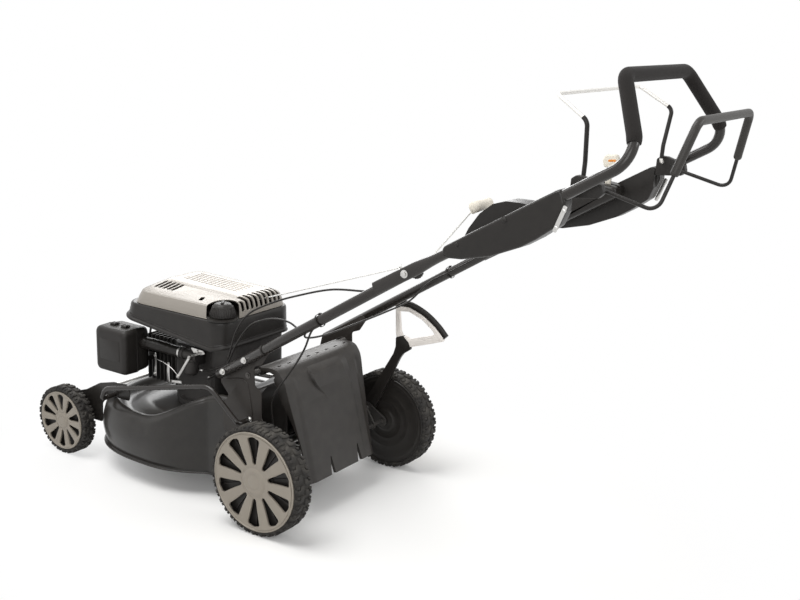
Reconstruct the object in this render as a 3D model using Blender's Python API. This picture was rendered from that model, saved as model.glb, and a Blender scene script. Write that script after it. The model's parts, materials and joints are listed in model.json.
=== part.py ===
"""Self-propelled lawn mower with rear discharge, modelled piece by piece.

Metres, +Z up, +X to the mower's right, +Y towards its front wheels. Places along Y are given
from the rear axle; the whole machine is then moved so that its box stands centred on the origin.
"""

import math

import bmesh
import bpy
from mathutils import Matrix, Vector

for old in list(bpy.data.objects):
    bpy.data.objects.remove(old, do_unlink=True)

# Clearances
GAP = 0.0003
RUN = 0.0004
WHEEL_CLEAR = 0.012
WHEEL_WELL = 0.030

# Rear wheels
REAR_RADIUS = 0.140
REAR_FACE = 0.307
REAR_TYRE_WIDTH = 0.0535
REAR_BEAD = 0.1275
REAR_SIDES = 28

# Front wheels
WHEELBASE = 0.7805
FRONT_RADIUS = 0.099
FRONT_FACE = 0.247
FRONT_TYRE_WIDTH = 0.041
FRONT_BEAD = 0.0848
FRONT_SIDES = 24

# What all four wheels share
TYRE_INSET = 0.0028
TREAD_DEPTH = 0.0035
CAP_THICKNESS = 0.0045
CAP_DISH = 0.006
WEB_DEPTH = 0.017
WEB_WALL = 0.004
SPOKES = 10
AXLE_RADIUS = 0.006
HUB_RADIUS = 0.017

# Wheel drive
RING_RADIUS = 0.080
RING_TEETH = 32
PINION_TEETH = 8
TOOTH_TIP = 0.0034
TOOTH_ROOT = 0.0042
RING_ROOT = 0.0100
TOOTH_SLACK = 0.0012
GEAR_WIDTH = 0.019
SHAFT_RADIUS = 0.006

# Cutting height linkage
CRANK_ANGLE = math.radians(30)
CRANK_PLATE = 0.006
CRANK_EDGE = 0.0155
LINK_ARM = 0.050
LINK_PLATE = 0.0044
LINK_PIN = 0.004
LINK_X = 0.1890

# Deck
DECK_WALL = 0.003
DECK_HALF_WIDTH = 0.2545
DECK_CENTRE = 0.420
DECK_FRONT = 0.285
DECK_REAR = 0.275
DECK_SIDE = 0.2019
DECK_RIM = 0.062
DECK_BULGE = 0.011
DECK_PLATEAU = 0.180
DECK_TROUGH = 0.165
LIP_FRONT = 0.190
LIP_REAR = 0.286
LIP_RIGHT = 0.168
DECK_SIDES = 40
FRONT_PLATE_X = 0.185
FRONT_PLATE_WALL = 0.003

# Blade and belt
BLADE_Y = 0.415
BLADE_LENGTH = 0.470
BLADE_WIDTH = 0.050
BLADE_WALL = 0.004
BLADE_Z = 0.084
BELT_Z = 0.126
BELT_HEIGHT = 0.0115
BELT_DEPTH = 0.007
ENGINE_PULLEY = 0.030
GEARBOX_PULLEY = 0.042
GROOVE = 0.008
GEARBOX_OFFSET = 0.038

# Discharge chute and flap
CHUTE_HALF_WIDTH = 0.140
CHUTE_WALL = 0.003
BAG_FACE = 0.030
PIN_Y = 0.105
PIN_Z = 0.366
PIN_RADIUS = 0.004
FLAP_WALL = 0.003
FLAP_HALF_TOP = 0.163
FLAP_HALF_BOTTOM = 0.135
FLAP_BOTTOM_Y = -0.043
FLAP_BOTTOM_Z = 0.087
FLAP_TOP_Y = 0.027
FLAP_TOP_Z = 0.3645

# Handle
TUBE_RADIUS = 0.0125
LOWER_X = 0.218
BOLT_Y = 0.167
BOLT_Z = 0.369
JOINT_Y = -0.381
JOINT_Z = 0.7082
UPPER_SLOPE = 0.58
UPPER_X = 0.240
UPPER_RADIUS = 0.011
LAP_HALF_HEIGHT = 0.015
LAP_HALF_WIDTH = 0.007
BEND_X = 0.258
BAR_X = 0.166
BAR_Y = -0.819
BAR_Z = 1.152
GRIP_RADIUS = 0.015
GRIP_START = 1.036
BRACKET_WALL = 0.003
KNOB_RADIUS = 0.019
WING_OUTER = 0.262
WING_INNER = 0.212
HUMP_INNER = 0.158

# Bails
BAIL_RADIUS = 0.004
SLEEVE_RADIUS = 0.0088
BAIL_X = 0.2035
BAIL_BEND = 0.009
BRAKE_Y = -0.765
BRAKE_Z = 0.947
DRIVE_Y = -0.806
DRIVE_Z = 0.934
DRIVE_BAR_Y = -0.9685
DRIVE_BAR_Z = 1.075

# Engine
SHROUD_LEFT = 0.158
SHROUD_RIGHT = 0.126
SHROUD_BACK = 0.232
SHROUD_FRONT = 0.605
SHROUD_TOP = 0.4655
SHROUD_WALL = 0.003
SHROUD_EDGE = 0.376
COVER_WALL = 0.0025
CAP_X = -0.119
CAP_Y = 0.269
CAP_RADIUS = 0.034
COVER_SLOTS = 9
FILTER_SPLIT = -0.150
FILTER_BACK = 0.556
FILTER_FRONT = 0.678
FILTER_LOW = 0.264
FILTER_HIGH = 0.392

# Hand controls on the upper handle
LEVER_X = 0.184
LEVER_Y = -0.648
GRIP_Y = -0.521
GRIP_Z = 0.8665

# Held cables and the starter rope
CABLE_RADIUS = 0.0025
ROPE_RADIUS = 0.002
ROPE_EYE_Y = -0.330
ROPE_LOW_X = -0.1815
ROPE_HIGH_X = -0.1770

# Derived places
PINION_RADIUS = RING_RADIUS * PINION_TEETH / RING_TEETH
CRANK = RING_RADIUS - PINION_RADIUS
CRANK_Y = CRANK * math.cos(CRANK_ANGLE)
CRANK_Z = CRANK * math.sin(CRANK_ANGLE)
REAR_PIVOT = (CRANK_Y, REAR_RADIUS + CRANK_Z)
FRONT_PIVOT = (WHEELBASE + CRANK_Y, FRONT_RADIUS + CRANK_Z)
REAR_PLANE = REAR_FACE - TYRE_INSET - REAR_TYRE_WIDTH
FRONT_PLANE = FRONT_FACE - TYRE_INSET - FRONT_TYRE_WIDTH
BRACKET_INNER = LOWER_X - TUBE_RADIUS - GAP - BRACKET_WALL
BRACKET_OUTER = BRACKET_INNER + BRACKET_WALL
CRANK_OUTER = REAR_PLANE - 0.011
GEAR_Y = REAR_PIVOT[0] + GEARBOX_OFFSET
TUBE_SLOPE = (JOINT_Z - BOLT_Z) / (BOLT_Y - JOINT_Y)
LEVER_Z = JOINT_Z + UPPER_SLOPE * (JOINT_Y - LEVER_Y) + 0.006
MACHINE_FRONT = WHEELBASE + FRONT_RADIUS
MACHINE_REAR = DRIVE_BAR_Y - SLEEVE_RADIUS
SHIFT = -(MACHINE_FRONT + MACHINE_REAR) / 2

BLACK = (0.022, 0.022, 0.024)
DECK_GREY = (0.045, 0.044, 0.046)
WARM_GREY = (0.060, 0.055, 0.050)
RUBBER = (0.030, 0.029, 0.028)
TAUPE = (0.330, 0.305, 0.265)
CHAMPAGNE = (0.600, 0.530, 0.450)
IVORY = (0.820, 0.780, 0.680)
STEEL = (0.550, 0.550, 0.560)
PALE_GREY = (0.420, 0.400, 0.390)

mower = bpy.data.objects.new("mower", None)
bpy.context.collection.objects.link(mower)
mower.location = (0.0, SHIFT, 0.0)


# Making objects

def pivot(name, y, z, x=0.0, parent=None):
    """An empty on a joint's axis; what it carries turns or slides with it."""
    empty = bpy.data.objects.new(name, None)
    bpy.context.collection.objects.link(empty)
    empty["place"] = (x, y, z)
    empty.parent = parent or mower
    base = Vector(parent["place"]) if parent else Vector()
    empty.location = Vector((x, y, z)) - base
    return empty


def finish(name, data, colour, rough, metal, parent):
    """Name a mesh or curve, give it its material and hang it on its parent."""
    item = bpy.data.objects.new(name, data)
    bpy.context.collection.objects.link(item)
    if parent:
        data.transform(Matrix.Translation(-Vector(parent["place"])))
    item.parent = parent or mower
    paint = bpy.data.materials.new(name)
    paint.use_nodes = True
    shader = paint.node_tree.nodes["Principled BSDF"]
    shader.inputs["Base Color"].default_value = (*colour, 1.0)
    shader.inputs["Roughness"].default_value = rough
    shader.inputs["Metallic"].default_value = metal
    data.materials.append(paint)
    return item


def solid(name, bm, colour=BLACK, rough=0.5, metal=0.0, parent=None, smooth=35):
    """An object from a closed bmesh."""
    bmesh.ops.recalc_face_normals(bm, faces=bm.faces[:])
    mesh = bpy.data.meshes.new(name)
    bm.to_mesh(mesh)
    bm.free()
    mesh.shade_smooth()
    mesh.set_sharp_from_angle(angle=math.radians(smooth))
    return finish(name, mesh, colour, rough, metal, parent)


def tool(name, bm):
    """A hidden body that a Boolean adds or takes away."""
    item = solid(name, bm)
    item.hide_render = True
    item.display_type = "WIRE"
    return item


def combine(target, bm, operation):
    """Add bm to the target or cut it out of it."""
    count = len(target.modifiers)
    other = tool(f"{target.name}_{operation.lower()}_{count}", bm)
    step = target.modifiers.new(f"{operation.title()} {count}", "BOOLEAN")
    step.operation = operation
    step.solver = "EXACT"
    step.object = other


def join(target, bm):
    combine(target, bm, "UNION")


def cut(target, bm):
    combine(target, bm, "DIFFERENCE")


# Shapes

def place(u, v, w, axis):
    """A point from its two places in a section and its depth along the axis."""
    if axis == "X":
        return Vector((w, u, v))
    if axis == "Y":
        return Vector((u, w, v))
    return Vector((u, v, w))


def prism(outline, low, high, axis="X", holes=()):
    """An outline, with any holes, drawn along an axis. Sections are (y, z), (x, z) or (x, y)."""
    bm = bmesh.new()
    for loop in (outline, *holes):
        corners = [bm.verts.new(place(u, v, low, axis)) for u, v in loop]
        for first, second in zip(corners, corners[1:] + corners[:1]):
            bm.edges.new((first, second))
    if holes:
        bmesh.ops.triangle_fill(bm, use_beauty=True, edges=bm.edges[:])
    else:
        bm.faces.new(bm.verts[:])
    grown = bmesh.ops.extrude_face_region(bm, geom=bm.faces[:])
    lifted = [part for part in grown["geom"] if isinstance(part, bmesh.types.BMVert)]
    bmesh.ops.translate(bm, verts=lifted, vec=place(0, 0, high - low, axis))
    return bm


def box(low, high):
    bm = bmesh.new()
    bmesh.ops.create_cube(bm, size=1.0)
    size = Vector(high) - Vector(low)
    bmesh.ops.scale(bm, verts=bm.verts[:], vec=size)
    bmesh.ops.translate(bm, verts=bm.verts[:], vec=(Vector(low) + Vector(high)) / 2)
    return bm


def rod(start, end, radius, sides=12):
    """A round bar between two points."""
    start = Vector(start)
    run = Vector(end) - start
    bm = bmesh.new()
    bmesh.ops.create_cone(bm, cap_ends=True, segments=sides, radius1=radius, radius2=radius, depth=run.length)
    turn = run.to_track_quat("Z", "Y").to_matrix().to_4x4()
    bmesh.ops.transform(bm, matrix=Matrix.Translation(start + run / 2) @ turn, verts=bm.verts[:])
    return bm


def lathe(profile, sides, axis="X", centre=(0.0, 0.0, 0.0), closed=True):
    """A profile of (place along the axis, radius) turned round the axis."""
    bm = bmesh.new()
    half = math.pi / sides
    line = [bm.verts.new((x, -r * math.sin(half), -r * math.cos(half))) for x, r in profile]
    edges = [bm.edges.new(pair) for pair in zip(line, line[1:])]
    if closed:
        edges.append(bm.edges.new((line[-1], line[0])))
    bmesh.ops.spin(bm, geom=line + edges, axis=(1, 0, 0), cent=(0, 0, 0), angle=math.tau, steps=sides,
                   use_merge=True)
    bmesh.ops.remove_doubles(bm, verts=bm.verts[:], dist=1e-6)
    if axis == "Z":
        bmesh.ops.rotate(bm, verts=bm.verts[:], matrix=Matrix.Rotation(-math.pi / 2, 3, "Y"))
    bmesh.ops.translate(bm, verts=bm.verts[:], vec=Vector(centre))
    return bm


def loft(rings, ring_closed=False):
    """Faces between rings of points, capped at both ends or closed on themselves."""
    bm = bmesh.new()
    rows = [[bm.verts.new(point) for point in ring] for ring in rings]
    pairs = list(zip(rows, rows[1:]))
    if ring_closed:
        pairs.append((rows[-1], rows[0]))
    else:
        bm.faces.new(rows[0])
        bm.faces.new(rows[-1])
    for low, high in pairs:
        count = len(low)
        for i in range(count):
            j = (i + 1) % count
            bm.faces.new((low[i], low[j], high[j], high[i]))
    return bm


def directions(points):
    """The mean direction of a path at each of its points."""
    found = []
    for i in range(len(points)):
        before = points[max(i - 1, 0)]
        after = points[min(i + 1, len(points) - 1)]
        found.append((after - before).normalized())
    return found


def frames(points):
    """Axes carried along a path without twist."""
    along = directions(points)
    side = Vector((1, 0, 0)) - along[0] * along[0].x
    if side.length < 0.35:
        side = Vector((0, 1, 0)) - along[0] * along[0].y
    side.normalize()
    found = []
    for index, direction in enumerate(along):
        if index:
            side = along[index - 1].rotation_difference(direction) @ side
            side = (side - direction * side.dot(direction)).normalized()
        found.append((direction, side, direction.cross(side)))
    return found


def path_rings(points, sizes, sides):
    """Rings along a path. A size is a radius, or a pair: along the first side, then square to it."""
    rings = []
    for point, size, (_, side, up) in zip(points, sizes, frames(points)):
        wide, high = size if isinstance(size, tuple) else (size, size)
        rings.append([point + side * wide * math.cos(math.tau * (i + 0.5) / sides)
                      + up * high * math.sin(math.tau * (i + 0.5) / sides) for i in range(sides)])
    return rings


def bent(points, radii, steps=4):
    """A path with its inner corners rounded to the given radii."""
    points = [Vector(p) for p in points]
    path = [points[0]]
    for before, corner, after, radius in zip(points, points[1:], points[2:], radii):
        inward = (before - corner).normalized()
        outward = (after - corner).normalized()
        half = inward.angle(outward) / 2
        back = radius / math.tan(half)
        centre = corner + (inward + outward).normalized() * radius / math.sin(half)
        first = (corner + inward * back - centre).normalized()
        last = (corner + outward * back - centre).normalized()
        for i in range(steps + 1):
            path.append(centre + first.slerp(last, i / steps) * radius)
    path.append(points[-1])
    return path


def mirrored(points):
    """A right-hand path followed by its mirror image, from right to left."""
    return points + [Vector((-p.x, p.y, p.z)) for p in reversed(points)]


def rounded_rectangle(x0, x1, y0, y1, radius, steps=3):
    """Corners in order, each an arc."""
    found = []
    corners = ((x1 - radius, y1 - radius, 0), (x0 + radius, y1 - radius, 90), (x0 + radius, y0 + radius, 180),
               (x1 - radius, y0 + radius, 270))
    for x, y, start in corners:
        for i in range(steps + 1):
            angle = math.radians(start + 90 * i / steps)
            found.append((x + radius * math.cos(angle), y + radius * math.sin(angle)))
    return found


def circle(y, z, radius, sides=12):
    return [(y + radius * math.cos(math.tau * i / sides), z + radius * math.sin(math.tau * i / sides))
            for i in range(sides)]


def stadium(first, second, radius, steps=5):
    """The outline of a bar with round ends between two points of a section."""
    a, b = Vector(first), Vector(second)
    base = math.atan2(b.y - a.y, b.x - a.x)
    outline = []
    for centre, start in ((b, base - math.pi / 2), (a, base + math.pi / 2)):
        for i in range(steps + 1):
            angle = start + math.pi * i / steps
            outline.append((centre.x + radius * math.cos(angle), centre.y + radius * math.sin(angle)))
    return outline


def flip_x(bm):
    """The mirror image of a right-hand piece."""
    bmesh.ops.scale(bm, verts=bm.verts[:], vec=(-1, 1, 1))
    bmesh.ops.reverse_faces(bm, faces=bm.faces[:])
    return bm


def sided(bm, side):
    return bm if side > 0 else flip_x(bm)


def smooth_step(low, high, value):
    t = min(max((value - low) / (high - low), 0.0), 1.0)
    return t * t * (3 - 2 * t)


# Wheels

def tyre_mesh(radius, width, bead, sides, plane, y, z):
    """A tyre whose tread blocks alternate between its two shoulders."""
    band = radius - TREAD_DEPTH
    groove = width * 0.06
    shoulder = width * 0.09
    middle = plane + width / 2
    outer = plane + width
    profile = [(plane, bead), (plane + shoulder, band), (middle - groove, band), (middle + groove, band),
               (outer - shoulder, band), (outer, bead)]
    bm = lathe(profile, sides)
    blocks = []
    for face in bm.faces:
        centre = face.calc_center_median()
        if Vector((0, centre.y, centre.z)).length < band * math.cos(math.pi / sides) - 1e-5:
            continue
        index = round(math.atan2(centre.y, -centre.z) / (math.tau / sides))
        odd = index % 2 == 1
        if abs(centre.x - middle) > groove and (centre.x > middle) != odd:
            blocks.append(face)
    grown = bmesh.ops.extrude_discrete_faces(bm, faces=blocks)
    for face in grown["faces"]:
        for vert in face.verts:
            out = Vector((0, vert.co.y, vert.co.z)).normalized()
            vert.co += out * TREAD_DEPTH
    bmesh.ops.translate(bm, verts=bm.verts[:], vec=(0, y, z))
    return bm


def tooth_outline(teeth, pitch, tip, root, slack):
    """A ring of teeth; tip and root are radii, and the flanks cross the pitch circle."""
    step = math.tau / teeth
    quarter = step / 4 - slack / pitch / 2
    lean = 0.42 * abs(tip - root) / pitch
    points = []
    for i in range(teeth):
        at = i * step
        tip_half = max(quarter - lean / 2, step * 0.06)
        root_half = quarter + lean / 2
        for radius, angle in ((root, -root_half), (tip, -tip_half), (tip, tip_half), (root, root_half)):
            points.append((radius * math.cos(at + angle), radius * math.sin(at + angle)))
    return points


def ring_gear():
    """Inward teeth of a rear wheel, one tooth space at the pinion."""
    turn = CRANK_ANGLE + math.pi / RING_TEETH
    step = math.tau / RING_TEETH
    tip = RING_RADIUS - TOOTH_TIP
    root = RING_RADIUS + RING_ROOT
    share = TOOTH_TIP / (TOOTH_TIP + RING_ROOT)
    pitch_half = step / 4 - TOOTH_SLACK / RING_RADIUS / 2
    tip_half = (pitch_half - share * step / 2) / (1 - share)
    inner = []
    for i in range(RING_TEETH):
        for radius, angle in ((tip, -tip_half), (tip, tip_half), (root, step / 2)):
            at = i * step + angle
            inner.append((radius * math.cos(at), radius * math.sin(at)))
    outer = circle(0, 0, root + 0.005, RING_TEETH // 2)
    bm = prism(outer, REAR_PLANE + 0.013, REAR_FACE - WEB_DEPTH - 0.003, "X", holes=(inner,))
    bmesh.ops.rotate(bm, verts=bm.verts[:], matrix=Matrix.Rotation(turn, 3, "X"))
    return bm


def pinion_mesh():
    outline = tooth_outline(PINION_TEETH, PINION_RADIUS, PINION_RADIUS + TOOTH_TIP,
                            PINION_RADIUS - TOOTH_ROOT, TOOTH_SLACK)
    low = REAR_PLANE + 0.013
    bore = circle(0, 0, SHAFT_RADIUS + RUN, 12)
    bm = prism(outline, low, low + GEAR_WIDTH - 0.001, "X", holes=(bore,))
    bmesh.ops.rotate(bm, verts=bm.verts[:], matrix=Matrix.Rotation(CRANK_ANGLE, 3, "X"))
    bmesh.ops.translate(bm, verts=bm.verts[:], vec=(0, *REAR_PIVOT))
    return bm


def rim_mesh(face, plane, bead, sides, y, z):
    """Hub, web and barrel of a wheel, turned in one."""
    web_out = face - WEB_DEPTH
    web_in = web_out - WEB_WALL
    seat = bead - 0.0005
    barrel_out = face - CAP_THICKNESS - GAP * 4
    barrel_in = plane + 0.006
    bore = AXLE_RADIUS + RUN
    profile = [(barrel_in, bore), (web_out, bore), (web_out, seat - 0.005), (barrel_out, seat - 0.005),
               (barrel_out, seat), (barrel_in, seat), (barrel_in, seat - 0.005), (web_in, seat - 0.005),
               (web_in, HUB_RADIUS), (barrel_in, HUB_RADIUS)]
    return lathe(profile, sides, centre=(0, y, z))


def cap_mesh(face, bead, sides, y, z):
    """A hub cap with ten flared spokes, dished towards its centre."""
    ring = bead - GAP
    rim = [(ring * math.sin(a), -ring * math.cos(a))
           for a in (math.tau * (i + 0.5) / sides for i in range(sides))]
    pitch = math.tau / SPOKES
    windows = []
    inner = ring * 0.345
    outer = ring * 0.905
    for i in range(SPOKES):
        at = (i + 0.5) * pitch + math.pi / 2
        marks = ((inner, -0.10), (outer * 0.965, -0.262), (outer, -0.20), (outer, 0.20),
                 (outer * 0.965, 0.262), (inner, 0.10))
        windows.append([(r * math.cos(at + a * pitch), r * math.sin(at + a * pitch)) for r, a in marks])
    bm = prism(rim, face - CAP_THICKNESS, face, "X", holes=windows)
    for vert in bm.verts:
        reach = Vector((0, vert.co.y, vert.co.z)).length / ring
        vert.co.x -= CAP_DISH * (1 - reach ** 1.5)
    bmesh.ops.translate(bm, verts=bm.verts[:], vec=(0, y, z))
    return bm


def cap_boss(face, y, z, radius):
    """The round boss in the middle of a hub cap."""
    low = face - CAP_DISH - CAP_THICKNESS + 0.0004
    profile = [(low, 0.0), (low, radius), (face - 0.002, radius * 0.9), (face - 0.0028, 0.0)]
    return lathe(profile, 14, centre=(0, y, z), closed=False)


def make_wheel(label, side, radius, width, bead, sides, face, y, z, carrier):
    """Tyre, rim and hub cap on one wheel's axis."""
    plane = face - TYRE_INSET - width
    axis = pivot(f"axis_{label}", y, z, parent=carrier)
    solid(f"{label}_tyre", sided(tyre_mesh(radius, width, bead, sides, plane, y, z), side), RUBBER, 0.85,
          parent=axis)
    rim = solid(f"{label}_rim", sided(rim_mesh(face, plane, bead, sides, y, z), side), BLACK, 0.6,
                parent=axis)
    if radius == REAR_RADIUS:
        gear = ring_gear()
        bmesh.ops.translate(gear, verts=gear.verts[:], vec=(0, y, z))
        join(rim, sided(gear, side))
    cap = solid(f"{label}_hub_cap", sided(cap_mesh(face, bead, sides, y, z), side), TAUPE, 0.35, 0.3,
                parent=axis)
    join(cap, sided(cap_boss(face, y, z, bead * 0.235), side))


# Axles and height linkage

def make_rear_axle(carrier):
    """Through axle, two crank plates and the arm of the height link, welded together."""
    reach = REAR_FACE - 0.0135
    shaft = rod((-reach, 0, REAR_RADIUS), (reach, 0, REAR_RADIUS), AXLE_RADIUS, 14)
    axle = solid("rear_axle", shaft, STEEL, 0.4, 0.9, parent=carrier)
    bore = circle(*REAR_PIVOT, SHAFT_RADIUS + RUN)
    for side in (1, -1):
        plate = prism(stadium((0, REAR_RADIUS), REAR_PIVOT, CRANK_EDGE), CRANK_OUTER - CRANK_PLATE,
                      CRANK_OUTER, holes=(bore,))
        join(axle, sided(plate, side))
    pin = (REAR_PIVOT[0], REAR_PIVOT[1] + LINK_ARM)
    arm = prism(stadium((0, REAR_RADIUS), pin, 0.010), LINK_X, LINK_X + LINK_PLATE,
                holes=(circle(*pin, LINK_PIN + RUN),))
    join(axle, arm)


def make_front_axle(carrier):
    """Cross rod in the deck's front plates, crank plates, wheel stubs and the link's arm."""
    y, z = FRONT_PIVOT
    reach = LINK_X + LINK_PLATE / 2
    axle = solid("front_axle", rod((-reach, y, z), (reach, y, z), AXLE_RADIUS), STEEL, 0.4, 0.9,
                 parent=carrier)
    centre = (WHEELBASE, FRONT_RADIUS)
    for side in (1, -1):
        join(axle, sided(prism(stadium(centre, FRONT_PIVOT, 0.012), LINK_X, LINK_X + LINK_PLATE), side))
        stub = rod((LINK_X + LINK_PLATE / 2, *centre), (FRONT_FACE - 0.0135, *centre), AXLE_RADIUS)
        join(axle, sided(stub, side))
    pin = (y, z + LINK_ARM)
    arm = prism(stadium(FRONT_PIVOT, pin, 0.010), LINK_X, LINK_X + LINK_PLATE,
                holes=(circle(*pin, LINK_PIN + RUN),))
    join(axle, arm)


def make_link_rod(carrier):
    """The flat bar that makes the front wheels rise and fall with the rear ones."""
    rear = (REAR_PIVOT[0], REAR_PIVOT[1] + LINK_ARM)
    front = (FRONT_PIVOT[0], FRONT_PIVOT[1] + LINK_ARM)
    low = LINK_X + LINK_PLATE + RUN
    bar = solid("height_link_rod", prism(stadium(rear, front, 0.0065), low, low + 0.004), STEEL, 0.4, 0.9,
                parent=carrier)
    for y, z in (rear, front):
        join(bar, rod((LINK_X - 0.0005, y, z), (low + 0.002, y, z), LINK_PIN))


def make_dust_covers(carrier):
    """Discs that close the inner side of each rear wheel."""
    low = REAR_PLANE + 0.0005
    for label, side in (("right", 1), ("left", -1)):
        bore = AXLE_RADIUS + RUN
        profile = [(low - 0.004, bore), (low - 0.004, 0.028), (low, 0.034), (low, REAR_BEAD - 0.001),
                   (low + 0.0025, REAR_BEAD - 0.001), (low + 0.0025, bore)]
        disc = solid(f"dust_cover_{label}", sided(lathe(profile, 20, centre=(0, 0, REAR_RADIUS)), side),
                     BLACK, 0.5, parent=carrier)
        hole = rod((low - 0.02, *REAR_PIVOT), (low + 0.02, *REAR_PIVOT), SHAFT_RADIUS + RUN)
        cut(disc, sided(hole, side))


def make_height_lever(carrier):
    """A looped hand lever on the right crank plate."""
    hub = Vector((-0.061, 0.378))
    low = CRANK_OUTER + GAP
    high = REAR_PLANE - 0.0009
    arc = [Vector((-0.036, 0.494)), Vector((-0.078, 0.497)), Vector((-0.128, 0.480)), Vector((-0.170, 0.452)),
           Vector((-0.200, 0.424))]
    inside = [Vector((-0.043, 0.468)), Vector((-0.078, 0.471)), Vector((-0.122, 0.456)),
              Vector((-0.158, 0.431)), Vector((-0.160, 0.423)), Vector((-0.080, 0.396)),
              Vector((-0.060, 0.401)), Vector((-0.052, 0.410))]
    outline = [Vector((-0.022, 0.484)), *arc, Vector((-0.192, 0.409)), Vector((-0.090, 0.372)),
               Vector((-0.083, 0.360)), Vector((-0.062, 0.352)), Vector((-0.052, 0.335)),
               Vector((0.034, 0.160)), Vector((0.046, 0.152)), Vector((0.062, 0.153)), Vector((0.070, 0.166)),
               Vector((0.066, 0.182)), Vector((-0.030, 0.344)), Vector((-0.038, 0.365)),
               Vector((-0.036, 0.395))]
    holes = ([(p.x, p.y) for p in inside], circle(*REAR_PIVOT, SHAFT_RADIUS + RUN))
    lever = solid("height_lever", prism([(p.x, p.y) for p in outline], low, high, holes=holes), IVORY, 0.45,
                  parent=carrier)
    join(lever, rod((low - 0.006, *hub), (high + 0.004, *hub), 0.021, 14))


# Deck

def deck_outline():
    """Half of the deck's plan is a rounded form; towards the rear its sides run straight.

    Beside the front wheels the deck keeps inside them.
    """
    beside_wheels = WHEELBASE - FRONT_RADIUS - WHEEL_WELL - DECK_CENTRE
    points = []
    for i in range(DECK_SIDES):
        angle = math.tau * (i + 0.5) / DECK_SIDES
        c, s = math.cos(angle), math.sin(angle)
        power = 2.7 if s > 0 else 2.0
        reach = DECK_FRONT if s > 0 else DECK_REAR
        x = DECK_HALF_WIDTH * math.copysign(abs(c) ** (2 / power), c)
        y = reach * math.copysign(abs(s) ** (2 / power), s)
        if s < 0 and abs(x) < DECK_SIDE and abs(c) > 0.42:
            x = math.copysign(DECK_SIDE, c)
        elif s < 0 and abs(x) < DECK_SIDE:
            x = DECK_SIDE * c / 0.42
            y = -DECK_REAR
        if y > beside_wheels:
            x = math.copysign(min(abs(x), FRONT_PLANE - WHEEL_CLEAR), x)
        points.append(Vector((x, y, 0)))
    return points


def deck_rise(x, y, front, rear, right):
    """The deck climbs towards the chute, except along its right-hand edge."""
    climb = smooth_step(0.46, 0.20, y)
    edge = smooth_step(0.185, 0.120, x)
    level = front + (rear - front) * climb
    low = front + (right - front) * smooth_step(0.05, 0.16, x)
    return low + (level - low) * edge


def deck_ring(scale, front, rear, right, drop=0.0, bulge=0.0, wall=0.0):
    ring = []
    for point in deck_outline():
        swell = 1 + bulge / DECK_HALF_WIDTH * smooth_step(0.24, 0.38, DECK_CENTRE + point.y * scale)
        shrink = 1 - wall / DECK_HALF_WIDTH
        x = point.x * scale * swell * shrink
        y = DECK_CENTRE + point.y * scale * swell * shrink
        ring.append(Vector((x, y, deck_rise(x, y, front, rear, right) - drop)))
    return ring


def hole_ring(radius, z):
    return [Vector((radius * math.cos(math.tau * (i + 0.5) / DECK_SIDES),
                    BLADE_Y + radius * math.sin(math.tau * (i + 0.5) / DECK_SIDES), z))
            for i in range(DECK_SIDES)]


def make_deck():
    """A pressed steel deck with a rising left shoulder, front plates for the axle and a rear opening."""
    wall = DECK_WALL
    lip = (LIP_FRONT, LIP_REAR, LIP_RIGHT)
    trough = (DECK_TROUGH, LIP_REAR - 0.012, DECK_TROUGH)
    top = (DECK_PLATEAU, LIP_REAR - 0.020, DECK_PLATEAU)
    rims = (DECK_RIM, DECK_RIM, DECK_RIM)
    belly = (0.125, 0.165, 0.125)
    outer = [hole_ring(0.030, DECK_PLATEAU), hole_ring(0.108, DECK_PLATEAU), deck_ring(0.62, *top),
             deck_ring(0.80, *trough), deck_ring(0.905, *lip), deck_ring(0.96, *lip, drop=0.004),
             deck_ring(1.0, *lip, drop=0.026, bulge=0.004), deck_ring(1.0, *belly, bulge=DECK_BULGE),
             deck_ring(1.0, *rims, drop=-0.007, bulge=0.002), deck_ring(1.0, *rims, bulge=0.007)]
    inner = [deck_ring(1.0, *rims, wall=wall), deck_ring(1.0, *belly, bulge=DECK_BULGE, wall=wall),
             deck_ring(1.0, *lip, drop=0.030, bulge=0.004, wall=wall), deck_ring(0.95, *lip, drop=0.009),
             deck_ring(0.90, *lip, drop=wall + 0.0015), deck_ring(0.80, *trough, drop=wall + 0.0005),
             deck_ring(0.62, *top, drop=wall + 0.0005), hole_ring(0.108, DECK_PLATEAU - wall),
             hole_ring(0.030, DECK_PLATEAU - wall)]
    deck = solid("deck", loft(outer + inner, ring_closed=True), DECK_GREY, 0.22, 0.2)
    rear = DECK_CENTRE - DECK_REAR
    cut(deck, box((-0.130, rear - 0.030, 0.150), (0.130, rear + 0.015, 0.262)))
    cut(deck, box((-0.055, rear - 0.03, BELT_Z - 0.020), (0.055, rear + 0.03, 0.158)))


def make_front_plates():
    """Upright plates at the deck's front corners, which carry the front axle."""
    y, z = FRONT_PIVOT
    outline = [(0.6720, 0.104), (y - 0.030, z - 0.028), (y + 0.014, z - 0.018), (y + 0.018, z + 0.006),
               (y - 0.010, z + 0.030), (0.735, 0.188), (0.678, 0.219), (0.620, 0.2335), (0.570, 0.236),
               (0.556, 0.215), (0.560, 0.1906), (0.640, 0.1906), (0.661, 0.1705), (0.6700, 0.160)]
    for label, side in (("right", 1), ("left", -1)):
        plate = prism(outline, FRONT_PLATE_X, FRONT_PLATE_X + FRONT_PLATE_WALL,
                      holes=(circle(y, z, AXLE_RADIUS + RUN),))
        solid(f"front_plate_{label}", sided(plate, side), DECK_GREY, 0.3, 0.2)


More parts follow.
